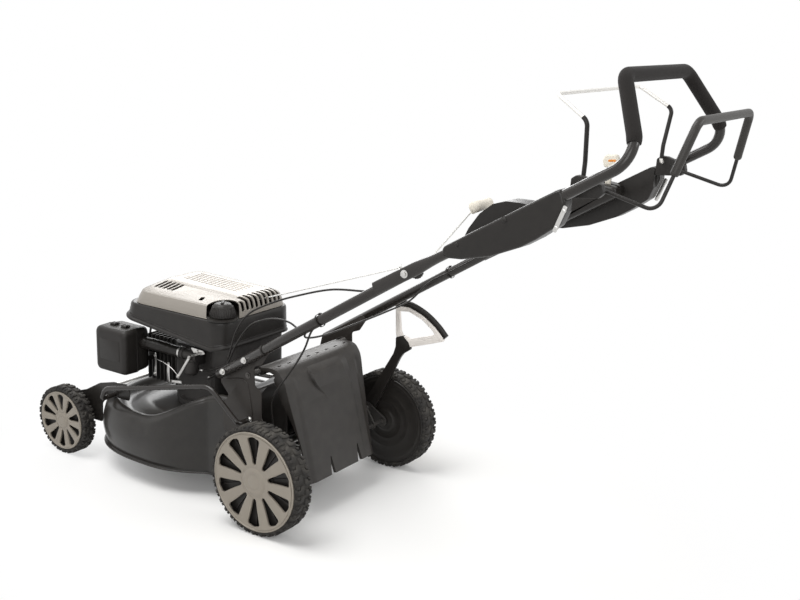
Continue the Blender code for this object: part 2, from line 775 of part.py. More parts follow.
def make_brackets():
    """Plates that hold the handle and the drive shaft; the flap's pin is fixed in the right one."""
    outline = [(0.198, 0.330), (0.190, 0.362), (0.052, 0.447), (0.036, 0.438), (0.060, 0.402), (0.086, 0.392),
               (0.084, 0.342), (0.062, 0.330), (0.062, 0.262), (0.034, 0.212), (0.030, 0.158), (0.060, 0.146),
               (0.100, 0.150), (0.188, 0.205), (0.192, 0.270), (0.170, 0.300)]
    bearing = circle(*REAR_PIVOT, SHAFT_RADIUS + RUN)
    eye = circle(PIN_Y, PIN_Z, PIN_RADIUS + RUN)
    reach = BRACKET_OUTER + 0.004
    right = solid("handle_bracket_right", prism(outline, BRACKET_INNER, BRACKET_OUTER, holes=(bearing,)),
                  WARM_GREY, 0.45, 0.3)
    join(right, rod((-reach, PIN_Y, PIN_Z), (reach, PIN_Y, PIN_Z), PIN_RADIUS))
    left = prism(outline, BRACKET_INNER, BRACKET_OUTER, holes=(bearing, eye))
    solid("handle_bracket_left", flip_x(left), WARM_GREY, 0.45, 0.3)


def make_side_bar():
    """A bent bar that guards the deck's left shoulder, bolted to the bracket and the front plate."""
    inner = BRACKET_OUTER + GAP
    front = FRONT_PLATE_X + FRONT_PLATE_WALL + GAP
    corners = [(-inner, 0.108, 0.246), (-0.240, 0.108, 0.246), (-0.240, 0.204, 0.324), (-0.240, 0.594, 0.234),
               (-0.240, 0.612, 0.200), (-front, 0.612, 0.200)]
    path = bent(corners, (0.012, 0.045, 0.030, 0.012), steps=3)
    solid("side_bar", loft(path_rings(path, [0.005] * len(path), 8)), BLACK, 0.35, 0.4)


# Chute and flap

def make_chute():
    """The duct from the deck to the grass bag, with the bag's frame at its rear."""
    start = DECK_CENTRE - DECK_REAR - GAP
    w = CHUTE_HALF_WIDTH
    stations = [(start, 0.150, 0.268, w), (0.098, 0.212, 0.322, w), (BAG_FACE + 0.006, 0.212, 0.340, w),
                (BAG_FACE + 0.0055, 0.206, 0.345, w + 0.005), (BAG_FACE, 0.206, 0.345, w + 0.005)]

    def section(y, low, high, half):
        return [Vector((x, y, z)) for x, z in ((-half, low), (half, low), (half, high), (-half, high))]

    outer = [section(*row) for row in stations]
    t = CHUTE_WALL
    inner = [section(y, low + t, high - t, w - t) for y, low,
             high in ((BAG_FACE, 0.212, 0.340), (0.098, 0.212, 0.322), (start, 0.150, 0.268))]
    solid("rear_chute", loft(outer + inner, ring_closed=True), BLACK, 0.5)


def make_flap(carrier):
    """The sprung rear cover: hinge barrel, curved top, raised middle panel and notched lower edge."""
    wall = FLAP_WALL
    rows = [(PIN_Y - 0.004, PIN_Z + 0.011, FLAP_HALF_TOP, 0.010, 0.0),
            (0.068, 0.381, FLAP_HALF_TOP, 0.012, 0.0), (0.040, 0.378, FLAP_HALF_TOP, 0.020, 0.0),
            (FLAP_TOP_Y, FLAP_TOP_Z, FLAP_HALF_TOP, 0.030, 0.0), (0.021, 0.340, 0.1605, 0.030, 0.003),
            (0.012, 0.304, 0.157, 0.026, 0.007), (-0.010, 0.218, 0.148, 0.0060, 0.007),
            (-0.030, 0.138, 0.140, 0.0048, 0.007),
            (FLAP_BOTTOM_Y, FLAP_BOTTOM_Z, FLAP_HALF_BOTTOM, 0.0048, 0.007)]
    path = [Vector((0, y, z)) for y, z, *_ in rows]
    rings = []
    for point, along, (_, _, half, deep, rise) in zip(path, directions(path), rows):
        out = along.cross(Vector((1, 0, 0)))
        panel_left, panel_right = -0.094, 0.108
        section = [(-half, 0), (panel_left, 0), (panel_left + 0.012, rise), (panel_right - 0.012, rise),
                   (panel_right, 0), (half, 0), (half, -deep), (half - wall, -deep), (half - wall, -wall),
                   (panel_right, -wall), (panel_left, -wall), (-half + wall, -wall), (-half + wall, -deep),
                   (-half, -deep)]
        rings.append([point + Vector((x, 0, 0)) + out * n for x, n in section])
    flap = solid("rear_flap", loft(rings), WARM_GREY, 0.5, parent=carrier)
    bore = PIN_RADIUS + RUN
    barrel = lathe([(-0.158, bore), (0.158, bore), (0.158, 0.0115), (-0.158, 0.0115)],
                   12, centre=(0, PIN_Y, PIN_Z))
    join(flap, barrel)
    cut(flap, rod((-0.17, PIN_Y, PIN_Z), (0.17, PIN_Y, PIN_Z), bore, 12))
    for x in (-0.045, 0.070):
        notch = [(x - 0.006, FLAP_BOTTOM_Z - 0.03), (x + 0.006, FLAP_BOTTOM_Z - 0.03),
                 (x, FLAP_BOTTOM_Z + 0.028)]
        cut(flap, prism(notch, FLAP_BOTTOM_Y - 0.03, FLAP_BOTTOM_Y + 0.03, "Y"))


# Blade, belt and gearbox

def pulley_profile(radius):
    """Half of a V pulley, from its lower to its upper face, as (height, radius)."""
    low, high = BELT_Z - 0.0095, BELT_Z + 0.0095
    return [(low, radius), (low + 0.0025, radius), (BELT_Z - 0.003, radius - GROOVE),
            (BELT_Z + 0.003, radius - GROOVE), (high - 0.0025, radius), (high, radius)]


def make_crankshaft(carrier):
    """Crankshaft with its belt pulley, blade holder and blade bolt, turned in one."""
    top = BLADE_Z + BLADE_WALL
    profile = [(BLADE_Z - 0.011, 0.0), (BLADE_Z - 0.011, 0.011), (BLADE_Z - GAP, 0.011),
               (BLADE_Z - GAP, 0.005), (top + GAP, 0.005), (top + GAP, 0.022), (top + 0.007, 0.022),
               (top + 0.007, 0.0125), (BELT_Z - 0.0095, 0.0125), *pulley_profile(ENGINE_PULLEY),
               (BELT_Z + 0.0095, 0.0125), (0.235, 0.0125), (0.235, 0.0)]
    solid("crankshaft", lathe(profile, 14, "Z", (0, BLADE_Y, 0), closed=False), STEEL, 0.35, 0.9,
          parent=carrier)


def make_blade(carrier):
    """A flat bar with sharpened leading edges and upturned trailing wings at both ends."""
    half, wide = BLADE_LENGTH / 2, BLADE_WIDTH / 2
    outline = [(half, wide - 0.014), (half, wide), (-half + 0.075, wide), (-half + 0.060, wide - 0.004),
               (-half, wide - 0.004), (-half, -wide + 0.014), (-half, -wide), (half - 0.075, -wide),
               (half - 0.060, -wide + 0.004), (half, -wide + 0.004)]
    places = [(x, y + BLADE_Y) for x, y in outline]
    blade = solid("blade", prism(places, BLADE_Z, BLADE_Z + BLADE_WALL, "Z",
                                 holes=(circle(0, BLADE_Y, 0.005 + RUN, 12),)), STEEL, 0.35, 0.9,
                  parent=carrier)
    top = BLADE_Z + BLADE_WALL
    section = [(wide - 0.013, top - 0.002), (wide, top - 0.002), (wide, top + 0.012),
               (wide - 0.003, top + 0.012)]
    for side in (1, -1):
        wing = prism([(BLADE_Y + side * y, z) for y, z in section], side * (half - 0.062),
                     side * (half - 0.0005), "X")
        join(blade, wing)


def make_belt():
    """A V belt round both pulleys."""
    reach = BLADE_Y - GEAR_Y
    lean = math.asin((GEARBOX_PULLEY - ENGINE_PULLEY) / reach)
    rings = []
    for centre, radius, start, sweep, steps in ((BLADE_Y, ENGINE_PULLEY, lean, math.pi - 2 * lean, 7),
                                                (GEAR_Y, GEARBOX_PULLEY, math.pi - lean, math.pi + 2 * lean,
                                                 9)):
        for i in range(steps + 1):
            angle = start + sweep * i / steps
            out = Vector((math.cos(angle), math.sin(angle), 0))
            middle = Vector((0, centre, BELT_Z))
            low, high = radius - GROOVE + 0.0009, radius - GROOVE + 0.0009 + BELT_DEPTH * 0.8
            narrow, wide = 0.0024, BELT_HEIGHT / 2 - 0.0012
            rings.append([middle + out * low + Vector((0, 0, -narrow)),
                          middle + out * high + Vector((0, 0, -wide)),
                          middle + out * high + Vector((0, 0, wide)),
                          middle + out * low + Vector((0, 0, narrow))])
    solid("drive_belt", loft(rings, ring_closed=True), RUBBER, 0.8)


def make_gearbox():
    """Worm gearbox hung on the drive shaft."""
    y, z = REAR_PIVOT
    bore = SHAFT_RADIUS + RUN
    body = solid("gearbox",
                 lathe([(-0.036, bore), (0.036, bore), (0.036, 0.022), (0.026, 0.030), (-0.026, 0.030),
                        (-0.036, 0.022)], 14, centre=(0, y, z)), PALE_GREY, 0.45, 0.7)
    join(body, rod((0, GEAR_Y, BELT_Z + 0.014), (0, GEAR_Y, 0.183), 0.017, 12))
    cut(body, rod((-0.05, y, z), (0.05, y, z), bore, 12))
    cut(body, rod((0, GEAR_Y, BELT_Z - 0.01), (0, GEAR_Y, 0.166), bore, 12))


def make_gearbox_pulley(carrier):
    low, high = BELT_Z - 0.0095, BELT_Z + 0.0095
    profile = [(low - 0.004, 0.0), (low - 0.004, 0.010), (low, 0.010), *pulley_profile(GEARBOX_PULLEY),
               (high, SHAFT_RADIUS), (0.1655, SHAFT_RADIUS), (0.1655, 0.0)]
    solid("gearbox_pulley", lathe(profile, 14, "Z", (0, GEAR_Y, 0), closed=False), STEEL, 0.4, 0.9,
          parent=carrier)


def make_drive_shaft(carrier):
    reach = REAR_PLANE + 0.013 + GEAR_WIDTH - 0.002
    solid("drive_shaft", rod((-reach, *REAR_PIVOT), (reach, *REAR_PIVOT), SHAFT_RADIUS), STEEL, 0.4, 0.9,
          parent=carrier)


# Engine

def make_engine_block():
    """Crankcase with a forward cylinder and its cooling fins."""
    base = DECK_PLATEAU + GAP
    rings = []
    start, pitch = 0.494, 0.0155
    for i in range(8):
        y = start + i * pitch
        for at, wide in ((y, 0.046), (y + 0.004, 0.046), (y + 0.0045, 0.066), (y + 0.0085, 0.066)):
            rings.append([Vector((x, at, z)) for x,
                          z in ((-wide, 0.285 - wide), (wide, 0.285 - wide), (wide, 0.285 + wide),
                                (-wide, 0.285 + wide))])
    block = solid("engine_block", loft(rings), PALE_GREY, 0.45, 0.7)
    crankcase = prism(rounded_rectangle(-0.078, 0.078, 0.330, 0.500, 0.025), base, 0.352, "Z")
    join(block, crankcase)
    join(block, prism(circle(0, BLADE_Y, 0.100, 20), base, base + 0.016, "Z"))
    join(block, rod((0, BLADE_Y, 0.34), (0, BLADE_Y, SHROUD_TOP - SHROUD_WALL - GAP), 0.045, 16))
    join(block, prism(rounded_rectangle(-0.100, 0.100, 0.242, 0.345, 0.020), 0.300, 0.430, "Z"))
    cut(block, rod((0, BLADE_Y, base - 0.02), (0, BLADE_Y, 0.238), 0.0125 + RUN, 16))


def shroud_ring(inset, level, above_edge=None):
    """A level ring of the blower housing, or one at a height above its bent lower edge."""
    ring = []
    for x, y in rounded_rectangle(-SHROUD_LEFT + inset, SHROUD_RIGHT - inset, SHROUD_BACK + inset,
                                  SHROUD_FRONT - inset, 0.050, 4):
        edge = 0.167 * max(y - 0.315, 0) + 0.19 * max(0.315 - y, 0)
        ring.append(Vector((x, y, level if above_edge is None else level + edge + above_edge)))
    return ring


def make_shroud():
    """The black housing that holds the fuel tank and blower, open below."""
    t = SHROUD_WALL
    edge = SHROUD_EDGE
    outer = [shroud_ring(0.004, SHROUD_TOP), shroud_ring(0.0, SHROUD_TOP - 0.010),
             shroud_ring(-0.002, edge, 0.016), shroud_ring(0.0, edge, 0.007),
             shroud_ring(-0.009, edge, 0.005), shroud_ring(-0.009, edge, 0.0)]
    inner = [shroud_ring(0.003 + t, edge, 0.0), shroud_ring(0.001 + t, edge, 0.016),
             shroud_ring(t, SHROUD_TOP - 0.012), shroud_ring(0.004 + t, SHROUD_TOP - t)]
    solid("engine_shroud", loft(outer + inner), BLACK, 0.4)


def cover_ring(x0, x1, y0, y1, radius, z, slope, wall=0.0):
    """A ring of the cover; its height is given at its rear, and its slope rises to the front."""
    outline = rounded_rectangle(x0 + wall, x1 - wall, y0 + wall, y1 - wall, radius - wall, 4)
    return [Vector((x, y, z + slope * (y - y0 - wall))) for x, y in outline]


def make_engine_cover():
    """The pale top cover: a crease round it, slots at its left front, a wrapped grille at its rear."""
    low = SHROUD_TOP + GAP
    rows = [(-0.022, 0.060, 0.300, 0.527, 0.022, low + 0.0467, 0.035),
            (-0.052, 0.080, 0.252, 0.548, 0.028, low + 0.0443, 0.030),
            (-0.1405, 0.110, 0.2445, 0.574, 0.046, low + 0.0322, 0.0),
            (-0.147, 0.117, 0.240, 0.581, 0.049, low + 0.0172, 0.0)]
    foot = (-0.151, 0.119, 0.238, 0.586, 0.050)
    outer = [cover_ring(*row) for row in rows] + [cover_ring(*foot, low, 0.0)]
    inner = [cover_ring(*foot, low, 0.0, COVER_WALL)]
    for x0, x1, y0, y1, radius, z, slope in reversed(rows):
        inner.append(cover_ring(x0, x1, y0, y1, radius, z - COVER_WALL, slope, COVER_WALL))
    cover = solid("engine_cover", loft(outer + inner), CHAMPAGNE, 0.35, 0.4)
    cut(cover, rod((CAP_X, CAP_Y, 0.44), (CAP_X, CAP_Y, 0.56), CAP_RADIUS + 0.010, 20))
    for i in range(COVER_SLOTS):
        x = -0.0765 + i * 0.0183
        cut(cover, box((x, 0.225, low + 0.0152), (x + 0.010, 0.276, low + 0.080)))
    for i in range(5):
        slot = box((-0.023, -0.0042, low + 0.020), (0.023, 0.0042, low + 0.080))
        bmesh.ops.rotate(slot, verts=slot.verts[:], matrix=Matrix.Rotation(math.radians(-5.6), 3, "Z"))
        bmesh.ops.translate(slot, verts=slot.verts[:], vec=(-0.081, 0.471 + 0.0158 * i, 0))
        cut(cover, slot)
    cut(cover, prism(stadium((-0.114, 0.352), (-0.103, 0.356), 0.0055, 4), 0.47, 0.55, "Z"))


def make_fuel_cap(carrier):
    low = SHROUD_TOP + GAP
    profile = [(low, 0.0), (low, 0.028), (low + 0.006, 0.029), (low + 0.007, CAP_RADIUS),
               (low + 0.016, CAP_RADIUS), (low + 0.035, CAP_RADIUS - 0.008),
               (low + 0.0415, CAP_RADIUS - 0.014), (low + 0.0425, CAP_RADIUS - 0.020), (low + 0.0425, 0.0)]
    cap = solid("fuel_cap", lathe(profile, 20, "Z", (CAP_X, CAP_Y, 0), closed=False), BLACK, 0.5,
                parent=carrier)
    grip = box((-0.0145, -0.0040, low + 0.036), (0.0145, 0.0040, low + 0.0465))
    bmesh.ops.rotate(grip, verts=grip.verts[:], matrix=Matrix.Rotation(math.radians(35), 3, "Z"))
    bmesh.ops.translate(grip, verts=grip.verts[:], vec=(CAP_X, CAP_Y, 0))
    join(cap, grip)


def filter_ring(x, inset):
    return [Vector((x, y, z)) for y,
            z in rounded_rectangle(FILTER_BACK + inset, FILTER_FRONT - inset, FILTER_LOW + inset,
                                   FILTER_HIGH - inset, 0.014, 3)]


def make_air_filter(carrier):
    """Filter housing: the base on the engine with its duct, and the cover that tips off it."""
    base = solid("filter_base",
                 loft([filter_ring(FILTER_SPLIT + GAP, 0.002), filter_ring(-0.112, 0.004),
                       filter_ring(-0.108, 0.010)]), BLACK, 0.5)
    join(base, box((-0.112, 0.570, 0.286), (-0.0663, 0.604, 0.300)))
    path = [Vector((-0.132, FILTER_BACK + 0.020, 0.350)), Vector((-0.132, 0.545, 0.350)),
            Vector((-0.124, 0.500, 0.347)), Vector((-0.112, 0.470, 0.340)), Vector((-0.112, 0.4258, 0.340))]
    join(base, loft(path_rings(path, [0.0165, 0.0165, 0.0165, 0.0155, 0.0155], 10)))
    join(base, prism([(0.600, 0.262), (0.742, 0.252), (0.738, 0.286), (0.600, 0.290)], -0.128, -0.124))
    cover = solid("filter_cover",
                  loft([filter_ring(FILTER_SPLIT, 0.0), filter_ring(-0.192, 0.001),
                        filter_ring(-0.199, 0.006), filter_ring(-0.201, 0.014)]), BLACK, 0.45, parent=carrier)
    for y in (0.585, 0.628):
        clip = box((FILTER_SPLIT - 0.020, y, FILTER_HIGH - 0.002),
                   (FILTER_SPLIT - 0.001, y + 0.018, FILTER_HIGH + 0.006))
        join(cover, clip)


def make_carburettor():
    carburettor = solid("carburettor", rod((-0.112, 0.425, 0.340), (-0.112, 0.365, 0.340), 0.0165, 10),
                        PALE_GREY, 0.4, 0.7)
    join(carburettor, box((-0.112, 0.372, 0.312), (-0.0783, 0.408, 0.348)))
    join(carburettor, rod((-0.112, 0.392, 0.284), (-0.112, 0.392, 0.330), 0.019, 12))


def make_muffler():
    rings = []
    for z, inset in ((0.236, 0.006), (0.240, 0.0), (0.280, 0.0), (0.282, 0.003), (0.288, 0.003), (0.290, 0.0),
                     (0.326, 0.0), (0.330, 0.006)):
        outline = rounded_rectangle(0.0664 + inset, 0.136 - inset, 0.512 + inset, 0.606 - inset, 0.014, 2)
        if inset:
            outline = [(max(x, 0.0664), y) for x, y in outline]
        rings.append([Vector((x, y, z)) for x, y in outline])
    solid("muffler", loft(rings), PALE_GREY, 0.4, 0.8)


# Handle

def tube_z(y):
    """Height of the lower tubes' centre line."""
    return BOLT_Z + TUBE_SLOPE * (BOLT_Y - y)


def upper_z(y):
    """Height of the upper tube's centre line up to its bend."""
    return JOINT_Z + UPPER_SLOPE * (JOINT_Y - y)


def make_lower_handles():
    for label, side in (("right", 1), ("left", -1)):
        low, high = BOLT_Y + 0.024, JOINT_Y - 0.013
        tube = solid(f"handle_lower_{label}",
                     rod((side * LOWER_X, low, tube_z(low)), (side * LOWER_X, high, tube_z(high)),
                         TUBE_RADIUS, 14), WARM_GREY, 0.35, 0.4)
        cut(tube, rod((side * 0.19, JOINT_Y, JOINT_Z), (side * 0.25, JOINT_Y, JOINT_Z), 0.004 + RUN))
        if side < 0:
            eye = [(ROPE_EYE_Y - 0.007, 0.683), (ROPE_EYE_Y + 0.007, 0.675), (ROPE_EYE_Y + 0.007, 0.714),
                   (ROPE_EYE_Y - 0.007, 0.714)]
            join(tube, prism(eye, -LOWER_X + 0.008, ROPE_LOW_X - ROPE_RADIUS - GAP))


def upper_path():
    """Centre line of the upper tube, from the right-hand lap over the bar to the left."""
    start = Vector((UPPER_X, -0.560, upper_z(-0.560)))
    corner = Vector((BEND_X, BAR_Y - 0.0774, upper_z(BAR_Y - 0.0774)))
    bar = Vector((BAR_X, BAR_Y, BAR_Z))
    half = bent([start, corner, bar, Vector((0, BAR_Y, BAR_Z))], (0.055, 0.034), steps=5)
    lap_x = LOWER_X + TUBE_RADIUS + GAP + LAP_HALF_WIDTH
    first = [(lap_x, -0.300), (lap_x, -0.405), (UPPER_X - 0.001, -0.440), (UPPER_X, -0.458),
             (UPPER_X, -0.474)]
    lap = [Vector((x, y, upper_z(y))) for x, y in first]
    half = lap + half[:-1]
    return half + [Vector((-p.x, p.y, p.z)) for p in reversed(half)]


def upper_sizes(path, extra=0.0):
    """Half width and half height along the tube: flat at the laps, round elsewhere."""
    sizes = []
    for point in path:
        if point.y > -0.41 and point.z < 0.9:
            size = (LAP_HALF_WIDTH, LAP_HALF_HEIGHT)
        elif point.y > -0.465 and point.z < 0.9:
            size = (UPPER_RADIUS, LAP_HALF_HEIGHT)
        else:
            size = (UPPER_RADIUS, UPPER_RADIUS)
        sizes.append((size[0] + extra, size[1] + extra))
    return sizes


def make_upper_handle(carrier):
    """The bent upper tube with its two pivot bolts and clamp knobs."""
    path = upper_path()
    handle = solid("handle_upper", loft(path_rings(path, upper_sizes(path), 10)), WARM_GREY, 0.35, 0.4,
                   parent=carrier)
    for side in (1, -1):
        inner = LOWER_X - TUBE_RADIUS - 0.0008
        join(handle, rod((side * (UPPER_X - 0.006), JOINT_Y, JOINT_Z),
                         (side * (inner - 0.006), JOINT_Y, JOINT_Z), 0.004))
        knob = lathe([(inner - 0.014, 0.0), (inner - 0.014, 0.012), (inner - 0.010, KNOB_RADIUS),
                      (inner - 0.003, KNOB_RADIUS), (inner, 0.012), (inner, 0.0)], 10,
                     centre=(0, JOINT_Y, JOINT_Z), closed=False)
        join(handle, sided(knob, side))


def make_foam_grip(carrier):
    """A foam sleeve on the bar and on both its sides."""
    path = upper_path()
    kept = [p for p in path if p.z > GRIP_START]
    first = path.index(kept[0])
    inner = path_rings(path, [UPPER_RADIUS + GAP] * len(path), 10)[first:first + len(kept)]
    outer = path_rings(path, [GRIP_RADIUS] * len(path), 10)[first:first + len(kept)]
    solid("foam_grip", loft(outer + list(reversed(inner)), ring_closed=True), BLACK, 0.95, parent=carrier)


def wing_mesh():
    """Side cover of the upper tube: straight along its top, deep-bellied below."""
    top = [(-0.484, 0.785), (-0.560, upper_z(-0.560) + 0.018), (-0.650, upper_z(-0.650) + 0.018),
           (-0.747, 0.938)]
    belly = [(-0.758, 0.906), (-0.738, 0.858), (-0.6985, 0.829), (-0.664, 0.808), (-0.597, 0.780),
             (-0.530, 0.764), (-0.496, 0.762), (-0.482, 0.768)]
    outline = top + belly
    centre = Vector((-0.620, 0.825))

    def ring(x, inset):
        points = []
        for y, z in outline:
            away = (Vector((y, z)) - centre).normalized()
            points.append(Vector((x, y - away.x * inset, z - away.y * inset)))
        return points

    return loft([ring(WING_INNER, 0.002), ring(WING_INNER + 0.003, 0.0), ring(WING_OUTER - 0.008, 0.0),
                 ring(WING_OUTER - 0.002, 0.004), ring(WING_OUTER, 0.010)])


def hump_mesh():
    """The housing on the inner side of a side cover."""
    rises = ((-0.500, 0.004), (-0.520, 0.034), (-0.545, 0.054), (-0.575, 0.060), (-0.605, 0.052),
             (-0.640, 0.032), (-0.680, 0.004))
    outline = [(y, upper_z(y) + rise) for y, rise in rises]
    outline += [(-0.680, upper_z(-0.680) - 0.020), (-0.500, upper_z(-0.500) - 0.020)]
    centre = Vector((-0.590, upper_z(-0.590)))

    def ring(x, inset):
        points = []
        for y, z in outline:
            away = (Vector((y, z)) - centre).normalized()
            points.append(Vector((x, y - away.x * inset, z - away.y * inset)))
        return points

    return loft([ring(HUMP_INNER, 0.010), ring(HUMP_INNER + 0.008, 0.002), ring(WING_INNER - 0.002, 0.0),
                 ring(WING_INNER + 0.006, 0.004)])


def make_wings(carrier):
    """Both side covers, bored for the tube; the right one is slotted for the speed lever."""
    path = upper_path()
    bore = path_rings(path, upper_sizes(path, GAP), 10)
    for label, side in (("right", 1), ("left", -1)):
        wing = solid(f"side_cover_{label}", sided(wing_mesh(), side), BLACK, 0.45, parent=carrier)
        join(wing, sided(hump_mesh(), side))
        cut(wing, sided(loft(bore[4:8]), side))
        pocket = box((WING_INNER - 0.01, BRAKE_Y - 0.05, BRAKE_Z - 0.06),
                     (UPPER_X - UPPER_RADIUS, BRAKE_Y + 0.016 + GAP, BRAKE_Z + 0.03))
        cut(wing, sided(pocket, side))
        if side > 0:
            slot = [(LEVER_Y - 0.030, LEVER_Z - 0.012), (LEVER_Y + 0.030, LEVER_Z - 0.012),
                    (LEVER_Y + 0.030, LEVER_Z + 0.080), (LEVER_Y - 0.030, LEVER_Z + 0.080)]
            cut(wing, prism(slot, LEVER_X - 0.0055, LEVER_X + 0.0055))
            join(wing, rod((LEVER_X - 0.014, LEVER_Y, LEVER_Z), (LEVER_X + 0.014, LEVER_Y, LEVER_Z), 0.003,
                           8))
        else:
            join(wing, prism([(-0.536, 0.810), (-0.520, 0.800), (-0.520, 0.8525), (-0.536, 0.8525)], -0.179,
                             -0.161))


def make_bail_mounts(carrier):
    """Blocks on the inner sides of the upper tube, with a hole for each bail."""
    low, high = BAIL_X + BAIL_BEND + GAP, UPPER_X - UPPER_RADIUS - GAP
    outline = [(BRAKE_Y + 0.016, BRAKE_Z - 0.032), (BRAKE_Y + 0.014, BRAKE_Z + 0.006),
               (BRAKE_Y + 0.004, BRAKE_Z + 0.013), (BRAKE_Y - 0.010, BRAKE_Z + 0.012),
               (DRIVE_Y - 0.010, DRIVE_Z + 0.012), (DRIVE_Y - 0.014, DRIVE_Z - 0.004),
               (DRIVE_Y - 0.004, DRIVE_Z - 0.014)]
    holes = (circle(BRAKE_Y, BRAKE_Z, BAIL_RADIUS + RUN, 8), circle(DRIVE_Y, DRIVE_Z, BAIL_RADIUS + RUN, 8))
    for label, side in (("right", 1), ("left", -1)):
        solid(f"bail_mount_{label}", sided(prism(outline, low, high, holes=holes), side), BLACK, 0.5,
              parent=carrier)


def make_bails(brake_axis, drive_axis):
    """Stop bail in front of the bar and drive bail behind it."""
    stub = UPPER_X - UPPER_RADIUS - 0.004
    corners = [(stub, BRAKE_Y, BRAKE_Z), (BAIL_X, BRAKE_Y, BRAKE_Z), (BAIL_X, -0.767, 0.985),
               (0.2215, -0.774, 1.065), (0.2065, -0.699, 1.111), (0, -0.699, 1.111)]
    half = bent(corners, (BAIL_BEND, 0.030, 0.018, 0.016), steps=2)[:-1]
    path = mirrored(half)
    solid("brake_bail", loft(path_rings(path, [BAIL_RADIUS] * len(path), 8)), STEEL, 0.3, 0.6,
          parent=brake_axis)
    corners = [(stub, DRIVE_Y, DRIVE_Z), (BAIL_X, DRIVE_Y, DRIVE_Z), (0.2075, -0.922, 0.905),
               (0.155, DRIVE_BAR_Y, DRIVE_BAR_Z), (0, DRIVE_BAR_Y, DRIVE_BAR_Z)]
    half = bent(corners, (BAIL_BEND, 0.024, 0.022), steps=3)[:-1]
    leg = Vector(corners[3]) - Vector(corners[2])
    sleeve_start = Vector(corners[2]) + leg * 0.40
    index = next(i for i, p in enumerate(half) if p.z > sleeve_start.z)
    half[index:index] = [sleeve_start, sleeve_start + leg * 0.004]
    path = mirrored(half)
    count = len(path)
    sizes = [SLEEVE_RADIUS if index < i < count - 1 - index else BAIL_RADIUS for i in range(count)]
    solid("drive_bail", loft(path_rings(path, sizes, 8)), BLACK, 0.5, parent=drive_axis)


def make_speed_lever(carrier):
    """Flat lever in the right housing's slot, with a pale knob."""
    y, z = LEVER_Y, LEVER_Z
    outline = stadium((y, z), (y - 0.006, z + 0.060), 0.0065, 4)
    lever = solid("speed_lever",
                  prism(outline, LEVER_X - 0.0035, LEVER_X + 0.0035, holes=(circle(y, z, 0.003 + RUN, 8),)),
                  IVORY, 0.45, parent=carrier)
    knob = [(y - 0.022, z + 0.060), (y + 0.008, z + 0.056), (y + 0.012, z + 0.074), (y + 0.006, z + 0.086),
            (y - 0.020, z + 0.088), (y - 0.026, z + 0.078)]
    join(lever, prism(knob, LEVER_X - 0.010, LEVER_X + 0.010))


def make_starter_grip(carrier):
    """T-shaped starter grip parked on the left housing."""
    grip = solid("starter_grip",
                 lathe([(-0.205, 0.0), (-0.205, 0.010), (-0.198, 0.0135), (-0.142, 0.0135), (-0.135, 0.010),
                        (-0.135, 0.0)], 12, centre=(0, GRIP_Y, GRIP_Z), closed=False), IVORY, 0.5,
                 parent=carrier)
    join(grip, rod((-0.170, GRIP_Y, GRIP_Z), (-0.170, GRIP_Y + 0.022, GRIP_Z - 0.0175), 0.006, 8))


# Held cables

def smooth_route(points, count):
    """Points on one smooth curve through the given ones."""
    points = [Vector(p) for p in points]
    ends = [2 * points[0] - points[1]] + points + [2 * points[-1] - points[-2]]
    spans = len(points) - 1
    found = []
    for i in range(count):
        at = spans * i / (count - 1)
        k = min(int(at), spans - 1)
        t = at - k
        p0, p1, p2, p3 = ends[k:k + 4]
        found.append(0.5 * (2 * p1 + (p2 - p0) * t + (2 * p0 - 5 * p1 + 4 * p2 - p3) * t * t
                            + (3 * p1 - p0 - 3 * p2 + p3) * t * t * t))
    return found


def cable(name, points, count, radius=CABLE_RADIUS, colour=BLACK, parent=None):
    """A held cable: a POLY spline read from a smooth curve."""
    curve = bpy.data.curves.new(name, "CURVE")
    curve.dimensions = "3D"
    curve.bevel_depth = radius
    curve.bevel_resolution = 2
    curve.use_fill_caps = True
    route = smooth_route(points, count)
    spline = curve.splines.new("POLY")
    spline.points.add(len(route) - 1)
    for slot, point in zip(spline.points, route):
        slot.co = (*point, 1.0)
    return finish(name, curve, colour, 0.5, 0.0, parent)


